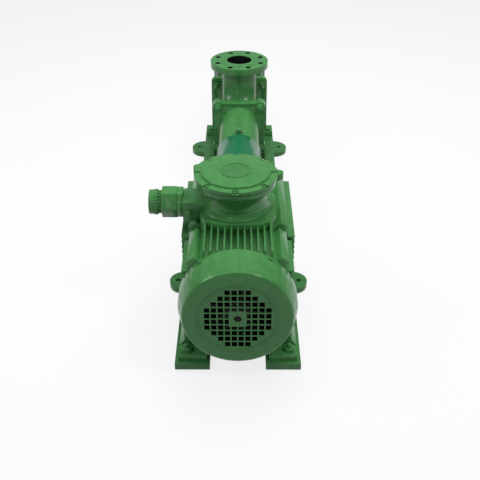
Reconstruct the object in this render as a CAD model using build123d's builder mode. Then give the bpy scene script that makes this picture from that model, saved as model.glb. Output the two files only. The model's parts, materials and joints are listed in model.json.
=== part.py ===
from build123d import *
import os
from math import asin, cos, degrees, radians, sin

os.makedirs("parts", exist_ok=True)

# Sizes in mm. The origin is on the base's underside, below the suction flange's centre.
# The shaft lies along Y: the motor's fan is at the -Y end and the discharge flange at +Y.

# Named clearances
running_clearance = 0.05
moving_clearance = 0.4
bolt_clearance = 1.0

# Layout along the shaft, measured out from the suction flange's centre
shaft_above_rail = 118
suction_front = 116.5
joint_plate = 17.5
housing_length = 203
coupling_space = 293
shield_depth = 40
large_length = 285
section_gap = 18
small_length = 127
cowl_length = 78
casing_rear = 91

# Base frame
front_plate_width = 85
front_plate_gap = 136
front_plate_thick = 18
front_plate_length = 600
rail_width = 34
rail_gap = 183
rail_height = 60
rail_length = 760
rail_overhang = 118
cross_member_width = 60
lug_hole_radius = 7
front_lug_radius = 40
front_lug_tip = 192.5
rear_lug_radius = 50
rear_lug_tip = 177
front_lug_y = -810
front_lug_spacing = 337
rear_lug_y = 40
rear_lug_spacing = 300
lug_thick = 18

# Motor frame
barrel_radius = 118
core_radius = 100
frame_top = 135
large_half_width = 141
small_half_width = 131
corner_run = 42
corner_drop = 33
shoulder_height = 126
fin_pitch = 15.7
fin_thick = 3.6
fins_each_side = 5
corner_web_width = 22
fin_depth = 17
corner_depth = 7
foot_length = 110
foot_thick = 16
foot_half_width = 144
foot_inner = 76
foot_overlap = 40
foot_bolt_x = 125
foot_bolt_inset = 22
foot_bolt_spacing = 254
foot_bolt_radius = 7
foot_bolt_room_radius = 15.5

# Fan cowl
cowl_radius = 140
cowl_face_radius = 124
cowl_edge_radius = 130
cowl_edge_depth = 6
cowl_shoulder = 43
cowl_wall = 2.5
grille_pitch = 15.7
grille_row_pitch = 16.6
grille_hole = 12.4
grille_hole_height = 13.8
grille_blank_width = 41
grille_blank_height = 43
grille_ring_radius = 93
grille_ring_width = 3
grille_ring_height = 1.2
grille_rows = (4, 6, 8, 10, 8, 8, 10, 8, 6, 4)
grille_middle_rows = (4, 5)
grille_centre_radius = 9
cowl_screw_angles = (-38, 32, 142, 218)
cowl_screw_inset = 9
cowl_screw_radius = 3
cowl_screw_head_radius = 6
cowl_screw_head_height = 3.5
cowl_screw_reach = 8
cowl_slot_width = 1.5
cowl_slot_depth = 1.5
shield_rim_depth = 18

# Cooling fan
fan_radius = 112
fan_width = 28
fan_hub_radius = 30
fan_blades = 9
fan_blade_thick = 3
fan_plate = 3
fan_plate_radius = 84
fan_inset = 26

# Motor shaft, rotor and windings
fan_shaft_radius = 19
motor_journal_radius = 22.5
rotor_seat_radius = 26
motor_end_radius = 21
core_length = 190
core_bore = 62
air_gap = 0.6
winding_length = 36
winding_wall = 26
winding_radius = 94
end_ring_length = 12
end_ring_radius = 58
end_ring_wall = 20
motor_seal_gap = 0.4
shield_bolt_out = 10
shield_bolt_across = 17
shield_bolt_head = 7
shield_ear_radius = 22
shield_rim_length = 12

# Rolling bearings: bore radius, outer radius, width and ball radius
motor_bearing_outer = 50
motor_bearing_width = 25
motor_ball = 7.5
motor_ball_count = 8
pump_journal_radius = 25
pump_bearing_outer = 55
pump_bearing_width = 27
pump_ball = 8.5
pump_ball_count = 9
groove_depth = 2.2

# Terminal box
box_x = -6
box_from_large_start = 56
box_foot_half = 94
box_foot_corner = 60
box_foot_radius = 88
box_foot_edge = 3
box_foot_length = 190
box_foot_top = 138
box_waist_radius = 79
box_rim_radius = 99
box_waist_height = 26
box_rim_height = 12
box_height = 80
box_lobe_radius = 14
box_lobe_pitch_radius = 107
box_lobe_angles = (13, 150)
box_lobe_height = 16
box_wall = 6
box_wire_radius = 28
box_rim_step = 4
lid_radius = 102.5
lid_thick = 9
lid_gasket_thick = 3
lid_gasket_inset = 1
lid_recess = 3
dome_radius = 84.5
dome_height = 5.5
dome_edge_radius = 4.5
dome_ring_radius = 37.5
dome_ring_height = 1.5
dome_ring_width = 3
lid_screw_pitch_radius = 93.5
lid_screw_count = 8
lid_screw_head = 5
lid_screw_radius = 3
lid_notch_radius = 7.5
lid_notch_depth = 5
lid_screw_sink = 1
lid_socket_depth = 3
lid_socket_radius = 2.7
board_length = 90
board_width = 50
board_thick = 16
stud_radius = 3
stud_height = 20
stud_pitch = 30
stud_nut_radius = 5.5
stud_nut_height = 5

# Earth screw on the boss's front face
earth_screw_x = 121
earth_screw_height = 138
earth_screw_radius = 7.5
earth_screw_head = 7

# Cable gland, along -X from the boss on the terminal box
gland_boss_x = 136
gland_boss_width = 74
gland_boss_overlap = 20
gland_boss_bottom = 115
gland_boss_top = 165
gland_height = 147
gland_thread_radius = 16
gland_cable_radius = 11
locknut_across = 66
locknut_length = 15
gland_hex_across = 68
gland_hex_length = 38
gland_neck_radius = 27
gland_neck_length = 9
gland_ring_radius = 31
gland_ring_length = 23
gland_thread_length = 20
gland_mouth = 3
gland_seal_radius = 17

# Coupling and guard
coupling_radius = 50
coupling_hub_length = 80
coupling_gap = 20
jaw_count = 3
jaw_inner_radius = 22
jaw_clearance = 1.0
jaw_inset = 18
spider_inset = 17.5
spider_radius = 48
spider_bore = 16
spider_gap = 0.3
drive_end_radius = 21
guard_radius = 71
guard_wall = 2
guard_flange = 45
guard_gap = 5
guard_screw_radius = 4
guard_screw_inset = 30
key_width = 12
key_height = 8
key_length = 60

# Bearing housing, with its shaft seal chamber
housing_radius = 66
housing_flare_radius = 75
housing_flare_length = 20
joint_width = 176
joint_bolt_x = 72
joint_bolt_z = 74.5
joint_bolt_radius = 8
joint_ear_radius = 19
joint_nut_width = 23
joint_nut_length = 12
joint_stud_stickout = 9
plate_corner_radius = 14
cover_thick = 10
cover_spigot = 8
cover_screw_head_radius = 5
cover_screw_head_height = 6
cover_screw_pitch_radius = 60
cover_screw_count = 6
bearing_spacing = 86
inner_wall = 12
plug_across = 22
plug_height = 14
plug_thread_radius = 8
plug_thread_length = 10
plug_from_housing_end = 16
plug_boss_radius = 14
plug_boss_height = 2
spigot_wall = 8
seal_chamber_radius = 50

# Shaft seal
seal_shaft_radius = 24
packing_radius = 33
packing_ring_count = 4
packing_ring_length = 9
packing_gap = 0.2
stuffing_wall = 10
follower_flange_radius = 46
follower_flange_thick = 8
follower_reach = 20
gland_stud_radius = 4
gland_stud_nut = 5
gland_stud_nut_width = 13
gland_stud_stickout = 2
gland_stud_pitch_radius = 40

# Suction casing
casing_radius = 64
casing_bore = 54
neck_radius = 61
flare_top_height = 133
flare_middle_height = 92
flare_middle_radius = 72
flare_foot_height = 60
flare_foot_radius = 99
flare_half_width = 52
port_radius = 43
port_flange_radius = 100
port_flange_thick = 22
port_bolt_circle_diameter = 160
port_bolt_count = 8
port_bolt_radius = 9
port_height = 196
rear_plate = 18
rear_width = 203
pump_foot_width = 247
pump_foot_thick = 18
pump_foot_start = 46
pump_foot_length = 60
pump_foot_web = 24
pump_foot_bolt_x = 101
pump_foot_bolt_y = 58
pump_foot_bolt_radius = 5.5
pump_foot_recess_radius = 12
pump_foot_recess_depth = 12
drain_radius = 7
drain_across = 19

# Helical rotor, its stator and the rod that turns it
eccentricity = 6
rotor_radius = 19
rotor_pitch = 58
stator_length = 232
stator_radius = 60
stator_wall = 6
stator_register = 6
rotor_overrun = 8
rotor_neck = 4
rotor_fit = 0.35
rod_radius = 9
rod_end_radius = 13
joint_head_radius = 22
joint_pin_radius = 5
joint_pin_play = 2.0
shaft_joint_y = -30
rotor_joint_y = 60
joint_mouth = 18
joint_back = 16
joint_web = 8
joint_pin_inset = 1
boot_radius = 17
boot_length = 8
boot_gap = 1.6

# Discharge casing and tie rods
discharge_plate = 18
discharge_width = 200
discharge_chamber_radius = 46
discharge_chamber_length = 18
discharge_neck_radius = 52
discharge_neck_length = 21
tie_rod_radius = 6.5
tie_rod_x = 83
tie_rod_z = 75
tie_rod_nut = 12
tie_rod_stickout = 8
tie_rod_nut_width = 20
stop_ring_radius = 10
stop_ring_length = 14
stop_ring_y = 139

# Fastener proportions
bolt_head_height = 0.7
bolt_head_width = 1.7


# Stations along the shaft
shaft_height = rail_height + shaft_above_rail
joint_y = -suction_front
housing_plate_y = joint_y - joint_plate
housing_y = housing_plate_y - housing_length
motor_nose_y = housing_y - coupling_space
frame_end_y = motor_nose_y - shield_depth
large_start_y = frame_end_y - large_length
small_end_y = large_start_y - section_gap
frame_start_y = small_end_y - small_length
cowl_y = frame_start_y - cowl_length
stator_start_y = casing_rear - stator_register
stator_end_y = stator_start_y + stator_length
discharge_y = stator_end_y - stator_register
discharge_plate_end = discharge_y + discharge_plate
discharge_end = discharge_plate_end + discharge_neck_length + port_flange_thick

shaft_axis = Axis((0, 0, shaft_height), (0, 1, 0))
lengthwise = Plane((0, 0, shaft_height), x_dir=(0, 1, 0), z_dir=(1, 0, 0))


def across(y):
    """Plane square to the shaft at y, seen from the fan: right is +X and up is +Z."""
    return Plane((0, y, shaft_height), x_dir=(1, 0, 0), z_dir=(0, -1, 0))


def along(y, x=0):
    """Plane square to the shaft whose normal points along +Y, for twisted shapes."""
    return Plane((x, y, shaft_height), x_dir=(1, 0, 0), z_dir=(0, 1, 0))


def turned(*points):
    """Face bounded by (y, radius) points, to be revolved about the shaft."""
    with BuildSketch(lengthwise) as profile:
        with BuildLine():
            Polyline(*points, close=True)
        make_face()
    return profile.sketch


def tube(start, end, outer, inner=0):
    """Face of a plain tube or rod between two stations."""
    return turned((start, inner), (end, inner), (end, outer), (start, outer))


def joint_plate_face(y):
    """Square plate with a round ear about the stud hole in each corner."""
    with BuildSketch(across(y)) as face:
        RectangleRounded(joint_width, joint_width, plate_corner_radius)
        with GridLocations(2 * joint_bolt_x, 2 * joint_bolt_z, 2, 2):
            Circle(joint_ear_radius)
        with GridLocations(2 * joint_bolt_x, 2 * joint_bolt_z, 2, 2):
            Circle(joint_bolt_radius, mode=Mode.SUBTRACT)
    return face.sketch


def rod_plate_face(y, width):
    """Square plate with a tie rod hole in each corner."""
    with BuildSketch(across(y)) as face:
        RectangleRounded(width, width, plate_corner_radius)
        with GridLocations(2 * tie_rod_x, 2 * tie_rod_z, 2, 2):
            Circle(tie_rod_radius + bolt_clearance, mode=Mode.SUBTRACT)
    return face.sketch


def save(part, label):
    """Names a finished piece and writes it."""
    part.label = label
    export_step(part, f"parts/{label}.step")


# Base frame: two flat bars under the motor, two box rails under the pump, and cross members
front_bar_x = (front_plate_gap + front_plate_width) / 2
rail_x = (rail_gap + rail_width) / 2
base_start_y = cowl_y + 26
front_bar_end = base_start_y + front_plate_length
rail_end_y = rail_overhang
rail_start_y = rail_end_y - rail_length
cross_member_ys = (base_start_y + front_plate_length / 2, rail_start_y + cross_member_width,
                   housing_plate_y, 0)
front_lug_x = front_lug_spacing / 2
rear_lug_x = rear_lug_spacing / 2
foot_start_y = frame_start_y - foot_overlap
foot_bolt_ys = (foot_start_y + foot_bolt_inset, foot_start_y + foot_bolt_inset + foot_bolt_spacing)
pump_foot_y = pump_foot_start + pump_foot_length / 2

with BuildPart() as base_frame:
    with BuildSketch():
        with Locations((-front_bar_x, 0), (front_bar_x, 0)):
            with Locations((0, (base_start_y + front_bar_end) / 2)):
                Rectangle(front_plate_width, front_plate_length)
        with Locations(*[(0, y) for y in cross_member_ys]):
            Rectangle(rail_gap + rail_width, cross_member_width)
        for lug_y, tip, radius in ((front_lug_y, front_lug_tip, front_lug_radius),
                                   (rear_lug_y, rear_lug_tip, rear_lug_radius)):
            with Locations((radius - tip, lug_y), (tip - radius, lug_y)):
                Circle(radius)
            with Locations((0, lug_y)):
                Rectangle(2 * (tip - radius), 2 * radius)
    extrude(amount=lug_thick)
    with BuildSketch():
        with Locations(*[(side * rail_x, (rail_start_y + rail_end_y) / 2) for side in (-1, 1)]):
            Rectangle(rail_width, rail_length)
    extrude(amount=rail_height)
    with BuildSketch():
        with Locations(*[(side * x, y) for side in (-1, 1)
                         for x, y in ((front_lug_x, front_lug_y), (rear_lug_x, rear_lug_y))]):
            Circle(lug_hole_radius)
    extrude(amount=lug_thick, mode=Mode.SUBTRACT)
    with BuildSketch():
        with Locations(*[(side * foot_bolt_x, y) for side in (-1, 1) for y in foot_bolt_ys]):
            Circle(foot_bolt_radius)
    extrude(amount=front_plate_thick, mode=Mode.SUBTRACT)
    with BuildSketch():
        with Locations(*[(side * pump_foot_bolt_x, pump_foot_bolt_y) for side in (-1, 1)]):
            Circle(pump_foot_bolt_radius)
    extrude(amount=rail_height, mode=Mode.SUBTRACT)
save(base_frame.part, "base_frame")


# Motor frame: a barrel with straight fins, set inside a square outline with cut corners
def all_round(quarter):
    """Corners of the top right quarter, mirrored to go all the way round."""
    half = quarter + [(x, -z) for x, z in reversed(quarter)]
    return half + [(-x, z) for x, z in reversed(half)]


def finned(y, half_width):
    """Cross-section of the finned barrel at y."""
    fins = [index * fin_pitch for index in range(-fins_each_side, fins_each_side + 1)]
    fin_edge = fins[-1] + fin_thick / 2
    corner = half_width - corner_run
    side = shoulder_height - corner_drop
    quarter = [(fin_edge, frame_top), (corner, shoulder_height), (half_width, side)]
    core_quarter = [(fin_edge, frame_top - fin_depth),
                    (corner - corner_depth, shoulder_height - fin_depth),
                    (half_width - fin_depth, side - corner_depth)]
    outline, core = all_round(quarter), all_round(core_quarter)
    with BuildSketch(across(y)) as section:
        with Locations(*[(x, 0) for x in fins]):
            Rectangle(fin_thick, 2 * frame_top)
        with Locations(*[(0, z) for z in fins]):
            Rectangle(2 * half_width, fin_thick)
        Rectangle(corner_web_width, 3 * half_width, rotation=45)
        Rectangle(corner_web_width, 3 * half_width, rotation=-45)
        Polygon(*outline, align=None, mode=Mode.INTERSECT)
        Polygon(*core, align=None)
        Circle(barrel_radius)
    return section.sketch


box_y = large_start_y + box_from_large_start
box_foot_start = box_y - box_foot_length / 2
foot_bottom = front_plate_thick - shaft_height
foot_top = foot_bottom + foot_thick

with BuildPart() as motor_frame:
    extrude(finned(frame_start_y, small_half_width), amount=-small_length)
    extrude(finned(large_start_y, large_half_width), amount=-large_length)
    revolve(tube(small_end_y, large_start_y, barrel_radius), axis=shaft_axis)
    for bolt_y in foot_bolt_ys:
        foot_y = bolt_y - foot_bolt_inset
        with BuildSketch(across(foot_y)):
            for side in (-1, 1):
                with Locations((side * (foot_inner + foot_half_width) / 2, foot_bottom + foot_thick / 2)):
                    Rectangle(foot_half_width - foot_inner, foot_thick)
        extrude(amount=-foot_length)
        web_y = max(foot_y, frame_start_y)
        with BuildSketch(across(web_y)):
            for side in (-1, 1):
                Polygon(
                    (side * foot_inner, foot_top),
                    (side * foot_half_width, foot_top),
                    (side * small_half_width, foot_top + foot_thick),
                    (side * small_half_width, -barrel_radius / 2),
                    (side * foot_inner, -barrel_radius / 2),
                    align=None,
                )
        extrude(amount=-(foot_y + foot_length - web_y))
    with BuildSketch(Plane.XY.offset(shaft_height)):
        with Locations((0, box_y)):
            RectangleRounded(2 * box_foot_half, box_foot_length, box_foot_corner)
    extrude(amount=box_foot_top)
    revolve(tube(frame_start_y, frame_end_y, core_radius), axis=shaft_axis, mode=Mode.SUBTRACT)
    with BuildSketch(Plane.XY.offset(shaft_height + gland_boss_bottom)):
        with Locations((-(gland_boss_x + box_foot_half) / 2, box_y)):
            Rectangle(gland_boss_x - box_foot_half, gland_boss_width + 2 * moving_clearance)
    extrude(amount=box_foot_top, mode=Mode.SUBTRACT)
    with BuildSketch(Plane.XY.offset(shaft_height)):
        with Locations((box_x, box_y)):
            Circle(box_wire_radius)
    extrude(amount=box_foot_top, mode=Mode.SUBTRACT)
    with BuildSketch():
        with Locations(*[(side * foot_bolt_x, y) for side in (-1, 1) for y in foot_bolt_ys]):
            Circle(foot_bolt_radius)
    extrude(amount=front_plate_thick + foot_thick, mode=Mode.SUBTRACT)
    with BuildSketch(Plane.XY.offset(front_plate_thick + foot_thick)):
        with Locations(*[(side * foot_bolt_x, y) for side in (-1, 1) for y in foot_bolt_ys]):
            Circle(foot_bolt_room_radius)
    extrude(amount=-barrel_radius / 2 - foot_top, mode=Mode.SUBTRACT)
save(motor_frame.part, "motor_frame")


def hex_bolts(points, base_z, shank_radius, depth):
    """Upright hexagon bolts: heads standing on base_z, shanks reaching down by depth."""
    with BuildPart() as bolts:
        with BuildSketch(Plane.XY.offset(base_z)):
            with Locations(*points):
                RegularPolygon(bolt_head_width * shank_radius, 6, major_radius=False)
        extrude(amount=2 * shank_radius * bolt_head_height)
        with BuildSketch(Plane.XY.offset(base_z - depth)):
            with Locations(*points):
                Circle(shank_radius - bolt_clearance / 2)
        extrude(amount=depth)
    return bolts.part


foot_points = [(side * foot_bolt_x, y) for side in (-1, 1) for y in foot_bolt_ys]
foot_bolt_base = front_plate_thick + foot_thick
save(hex_bolts(foot_points, foot_bolt_base, foot_bolt_radius, foot_bolt_base), "motor_foot_bolts")

# Motor end shields, each with a bearing seat
rear_bearing_y = frame_start_y + shield_rim_depth
front_bearing_y = frame_end_y - motor_bearing_width / 2
rotor_mid_y = (small_end_y + front_bearing_y) / 2
shield_rim = cowl_radius - cowl_wall
cowl_screw_planes = [Plane((0, frame_start_y - cowl_screw_inset, shaft_height), x_dir=(0, 1, 0),
                           z_dir=(sin(radians(angle)), 0, cos(radians(angle))))
                     for angle in cowl_screw_angles]
seal_radius = motor_journal_radius + motor_seal_gap

with BuildPart() as rear_end_shield:
    revolve(
        turned(
            (frame_start_y - shield_rim_depth, shield_rim),
            (frame_start_y, shield_rim),
            (frame_start_y, core_radius),
            (rear_bearing_y + motor_bearing_width, core_radius),
            (rear_bearing_y + motor_bearing_width, motor_bearing_outer),
            (rear_bearing_y, motor_bearing_outer),
            (rear_bearing_y, seal_radius),
            (frame_start_y - shield_rim_depth, seal_radius),
        ),
        axis=shaft_axis,
    )
    with BuildSketch(*[plane.offset(shield_rim - cowl_screw_reach) for plane in cowl_screw_planes]):
        Circle(cowl_screw_radius)
    extrude(amount=2 * cowl_screw_reach, mode=Mode.SUBTRACT)
save(rear_end_shield.part, "rear_end_shield")

with BuildPart() as front_end_shield:
    revolve(
        turned(
            (front_bearing_y, core_radius),
            (frame_end_y, core_radius),
            (frame_end_y, barrel_radius),
            (frame_end_y + shield_rim_length, barrel_radius),
            (motor_nose_y, motor_bearing_outer + shield_rim_depth),
            (motor_nose_y, seal_radius),
            (front_bearing_y + motor_bearing_width, seal_radius),
            (front_bearing_y + motor_bearing_width, motor_bearing_outer),
            (front_bearing_y, motor_bearing_outer),
        ),
        axis=shaft_axis,
    )
    with BuildSketch(across(frame_end_y)):
        for angle in (45, 135, 225, 315):
            with Locations((barrel_radius * cos(radians(angle)), barrel_radius * sin(radians(angle)))):
                Circle(shield_ear_radius)
        Circle(core_radius, mode=Mode.SUBTRACT)
    extrude(amount=-shield_rim_length)
save(front_end_shield.part, "front_end_shield")

shield_bolt_circle = barrel_radius + shield_bolt_out
with BuildPart() as shield_bolts:
    with BuildSketch(across(frame_end_y + shield_rim_length)):
        with PolarLocations(shield_bolt_circle, 4, start_angle=45):
            RegularPolygon(shield_bolt_across / 2, 6, major_radius=False)
    extrude(amount=-shield_bolt_head)
save(shield_bolts.part, "shield_bolts")

# Fan cowl: a spun shell whose face is a square-hole grille
with BuildPart() as fan_cowl:
    revolve(
        turned(
            (cowl_y, 0),
            (cowl_y, cowl_face_radius),
            (cowl_y + cowl_edge_depth / 3, (cowl_face_radius + 2 * cowl_edge_radius) / 3),
            (cowl_y + cowl_edge_depth, cowl_edge_radius),
            (cowl_y + cowl_shoulder, cowl_radius),
            (frame_start_y, cowl_radius),
            (frame_start_y, cowl_radius - cowl_wall),
            (cowl_y + cowl_shoulder, cowl_radius - cowl_wall),
            (cowl_y + cowl_edge_depth + cowl_wall, cowl_edge_radius - cowl_wall),
            (cowl_y + cowl_wall, cowl_face_radius - cowl_wall),
            (cowl_y + cowl_wall, 0),
        ),
        axis=shaft_axis,
    )
    revolve(tube(cowl_y - grille_ring_height, cowl_y + cowl_wall, grille_ring_radius,
                 grille_ring_radius - grille_ring_width), axis=shaft_axis)
    with BuildSketch(across(cowl_y - cowl_wall)):
        for row, count in enumerate(grille_rows):
            first = len(grille_rows) // 2 - count // 2 if row in grille_middle_rows else 0
            columns = [index + 0.5 for index in range(first, first + count // 2)]
            xs = [side * column * grille_pitch for column in columns for side in (-1, 1)]
            row_z = (row - (len(grille_rows) - 1) / 2) * grille_row_pitch
            with Locations(*[(x, row_z) for x in xs]):
                Rectangle(grille_hole, grille_hole_height)
        Rectangle(grille_blank_width, grille_blank_height, mode=Mode.SUBTRACT)
        Circle(grille_centre_radius)
    extrude(amount=-3 * cowl_wall, mode=Mode.SUBTRACT)
    with BuildSketch(*[plane.offset(shield_rim - cowl_wall) for plane in cowl_screw_planes]):
        Circle(cowl_screw_radius)
    extrude(amount=3 * cowl_wall, mode=Mode.SUBTRACT)
save(fan_cowl.part, "fan_cowl")

with BuildPart() as cowl_screws:
    with BuildSketch(*[plane.offset(shield_rim - cowl_screw_reach) for plane in cowl_screw_planes]):
        Circle(cowl_screw_radius)
    extrude(amount=cowl_screw_reach + 2 * cowl_wall)
    with BuildSketch(*[plane.offset(cowl_radius) for plane in cowl_screw_planes]):
        Circle(cowl_screw_head_radius)
    extrude(amount=cowl_screw_head_height)
    head_top = cowl_radius + cowl_screw_head_height
    with BuildSketch(*[plane.offset(head_top - cowl_slot_depth) for plane in cowl_screw_planes]):
        Rectangle(cowl_slot_width, 2 * cowl_screw_head_radius)
    extrude(amount=cowl_slot_depth, mode=Mode.SUBTRACT)
save(cowl_screws.part, "cowl_screws")

# Cooling fan on the shaft's rear end
fan_start = cowl_y + fan_inset
with BuildPart() as cooling_fan:
    revolve(tube(fan_start, fan_start + fan_width, fan_hub_radius, fan_shaft_radius), axis=shaft_axis)
    revolve(tube(fan_start + fan_width - fan_plate, fan_start + fan_width, fan_plate_radius,
                 fan_shaft_radius), axis=shaft_axis)
    with BuildSketch(across(fan_start)):
        with PolarLocations(0, fan_blades):
            with Locations(((fan_radius + fan_hub_radius - fan_plate) / 2, 0)):
                Rectangle(fan_radius - fan_hub_radius + fan_plate, fan_blade_thick)
    extrude(amount=-fan_width)
save(cooling_fan.part, "cooling_fan")

# Motor shaft, rotor, stator core and windings
motor_shaft_end = housing_y - coupling_gap / 2 - coupling_hub_length - coupling_space / 4
coupling_mid_y = motor_shaft_end + coupling_gap / 2
motor_hub_y = motor_shaft_end - coupling_hub_length
pump_hub_y = motor_shaft_end + coupling_gap
core_start = rotor_mid_y - core_length / 2
core_end = rotor_mid_y + core_length / 2
front_journal_end = front_bearing_y + motor_bearing_width

with BuildPart() as motor_shaft:
    revolve(tube(fan_start, rear_bearing_y, fan_shaft_radius), axis=shaft_axis)
    revolve(tube(rear_bearing_y, front_journal_end, motor_journal_radius), axis=shaft_axis)
    revolve(tube(core_start - end_ring_length, core_end + end_ring_length, rotor_seat_radius),
            axis=shaft_axis)
    revolve(tube(front_journal_end, motor_shaft_end, motor_end_radius), axis=shaft_axis)
    with BuildSketch(Plane.XY.offset(shaft_height + motor_end_radius - key_height / 2)):
        with Locations((0, motor_hub_y + coupling_hub_length / 2)):
            Rectangle(key_width, key_length)
    extrude(amount=key_height, mode=Mode.SUBTRACT)
save(motor_shaft.part, "motor_shaft")

with BuildPart() as motor_rotor:
    revolve(tube(core_start, core_end, core_bore - air_gap, rotor_seat_radius), axis=shaft_axis)
    for start in (core_start - end_ring_length, core_end):
        revolve(tube(start, start + end_ring_length, end_ring_radius, end_ring_radius - end_ring_wall),
                axis=shaft_axis)
save(motor_rotor.part, "motor_rotor")

with BuildPart() as stator_core:
    revolve(tube(core_start, core_end, core_radius, core_bore), axis=shaft_axis)
save(stator_core.part, "stator_core")

with BuildPart() as stator_windings:
    for start in (core_start - winding_length, core_end):
        revolve(tube(start, start + winding_length, winding_radius, winding_radius - winding_wall),
                axis=shaft_axis)
save(stator_windings.part, "stator_windings")


# Ball bearings
def outer_race(start, width, outer, inner, ball):
    """Outer ring with a ball groove."""
    pitch = (outer + inner) / 2
    land = pitch + ball - groove_depth
    with BuildPart() as ring:
        revolve(tube(start, start + width, outer, land), axis=shaft_axis)
        with BuildSketch(lengthwise):
            with Locations((start + width / 2, pitch)):
                Circle(ball + running_clearance)
        revolve(axis=shaft_axis, mode=Mode.SUBTRACT)
    return ring.part


def inner_race(start, width, outer, inner, ball):
    """Inner ring with a ball groove."""
    pitch = (outer + inner) / 2
    land = pitch - ball + groove_depth
    with BuildPart() as ring:
        revolve(tube(start, start + width, land, inner), axis=shaft_axis)
        with BuildSketch(lengthwise):
            with Locations((start + width / 2, pitch)):
                Circle(ball + running_clearance)
        revolve(axis=shaft_axis, mode=Mode.SUBTRACT)
    return ring.part


def ball_ring(start, width, outer, inner, ball, count):
    """Balls between the two rings."""
    with BuildPart() as balls:
        with Locations(across(start + width / 2)):
            with PolarLocations((outer + inner) / 2, count):
                Sphere(ball)
    return balls.part


motor_bearings = [(y, motor_bearing_width, motor_bearing_outer, motor_journal_radius, motor_ball)
                  for y in (rear_bearing_y, front_bearing_y)]
first_bearing_y = housing_y + cover_spigot
second_bearing_y = first_bearing_y + pump_bearing_width + bearing_spacing
pump_bearings = [(y, pump_bearing_width, pump_bearing_outer, pump_journal_radius, pump_ball)
                 for y in (first_bearing_y, second_bearing_y)]

for name, bearings, count in (("motor", motor_bearings, motor_ball_count),
                              ("pump", pump_bearings, pump_ball_count)):
    save(Compound(children=[outer_race(*bearing) for bearing in bearings]), f"{name}_bearing_outer_rings")
    save(Compound(children=[inner_race(*bearing) for bearing in bearings]), f"{name}_bearing_inner_rings")
    save(Compound(children=[ball_ring(*bearing, count) for bearing in bearings]), f"{name}_bearing_balls")

# Terminal box: a bowl on the frame's pad, with a boss on its left for the cable gland
box_base_z = shaft_height + box_foot_top
box_top_z = box_base_z + box_height
lid_z = box_top_z + lid_gasket_thick
lid_top_z = lid_z + lid_thick
box_mouth_radius = box_rim_radius - 3 * box_wall
box_axis = Axis((box_x, box_y, 0), (0, 0, 1))
box_plane = Plane((box_x, box_y, box_base_z), x_dir=(1, 0, 0), z_dir=(0, -1, 0))
gland_plane = Plane((-gland_boss_x, box_y, shaft_height + gland_height), x_dir=(0, 1, 0), z_dir=(-1, 0, 0))
boss_floor = gland_boss_bottom - box_foot_top

with BuildPart() as terminal_box:
    with BuildSketch(box_plane):
        with BuildLine():
            foot = Polyline((0, 0), (box_foot_radius, 0), (box_foot_radius, box_foot_edge))
            flare = ThreePointArc(foot @ 1, (box_waist_radius + 2, box_waist_height / 2),
                                  (box_waist_radius, box_waist_height))
            rise = ThreePointArc(flare @ 1, (box_waist_radius + 3, (box_waist_height + box_height) / 2),
                                 (box_rim_radius - box_rim_step, box_height - box_rim_height))
            rim = Polyline(rise @ 1, (box_rim_radius, box_height - box_rim_height),
                           (box_rim_radius, box_height), (0, box_height), (0, 0))
        make_face()
    revolve(axis=box_axis)
    with BuildSketch(Plane.XY.offset(box_base_z)):
        with Locations((-(gland_boss_x + box_waist_radius - gland_boss_overlap) / 2, box_y)):
            Rectangle(gland_boss_x - box_waist_radius + gland_boss_overlap, gland_boss_width)
    extrude(amount=gland_boss_top - box_foot_top)
    with BuildSketch(Plane.XY.offset(shaft_height + gland_boss_bottom)):
        with Locations((-(gland_boss_x + box_foot_half) / 2, box_y)):
            Rectangle(gland_boss_x - box_foot_half, gland_boss_width)
    extrude(amount=-boss_floor)
    with BuildSketch(Plane.XY.offset(box_top_z - box_lobe_height)):
        for angle in box_lobe_angles:
            with Locations((box_x + box_lobe_pitch_radius * cos(radians(angle)),
                            box_y + box_lobe_pitch_radius * sin(radians(angle)))):
                Circle(box_lobe_radius)
    extrude(amount=box_lobe_height)
    with BuildSketch(box_plane):
        with BuildLine():
            Polyline((0, box_wall), (box_waist_radius - box_wall, box_wall),
                     (box_waist_radius - box_wall, box_waist_height),
                     (box_mouth_radius, box_height - box_rim_height),
                     (box_mouth_radius, box_height), (0, box_height), close=True)
        make_face()
    revolve(axis=box_axis, mode=Mode.SUBTRACT)
    with BuildSketch(Plane.XY.offset(box_base_z)):
        with Locations((box_x, box_y)):
            Circle(box_wire_radius)
    extrude(amount=box_wall, mode=Mode.SUBTRACT)
    with BuildSketch(gland_plane):
        Circle(gland_thread_radius)
    extrude(amount=-(gland_boss_x - box_waist_radius + 3 * box_wall), mode=Mode.SUBTRACT)
    with BuildSketch(Plane.XY.offset(box_top_z)):
        with Locations((box_x, box_y)):
            with PolarLocations(lid_screw_pitch_radius, lid_screw_count, start_angle=-90):
                Circle(lid_screw_radius)
    extrude(amount=-box_rim_height, mode=Mode.SUBTRACT)
save(terminal_box.part, "terminal_box")

with BuildPart() as lid_gasket:
    with BuildSketch(Plane.XY.offset(box_top_z)):
        with Locations((box_x, box_y)):
            Circle(box_rim_radius - lid_gasket_inset)
            Circle(box_mouth_radius, mode=Mode.SUBTRACT)
            with PolarLocations(lid_screw_pitch_radius, lid_screw_count, start_angle=-90):
                Circle(lid_screw_radius, mode=Mode.SUBTRACT)
    extrude(amount=lid_gasket_thick)
save(lid_gasket.part, "lid_gasket")

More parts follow.
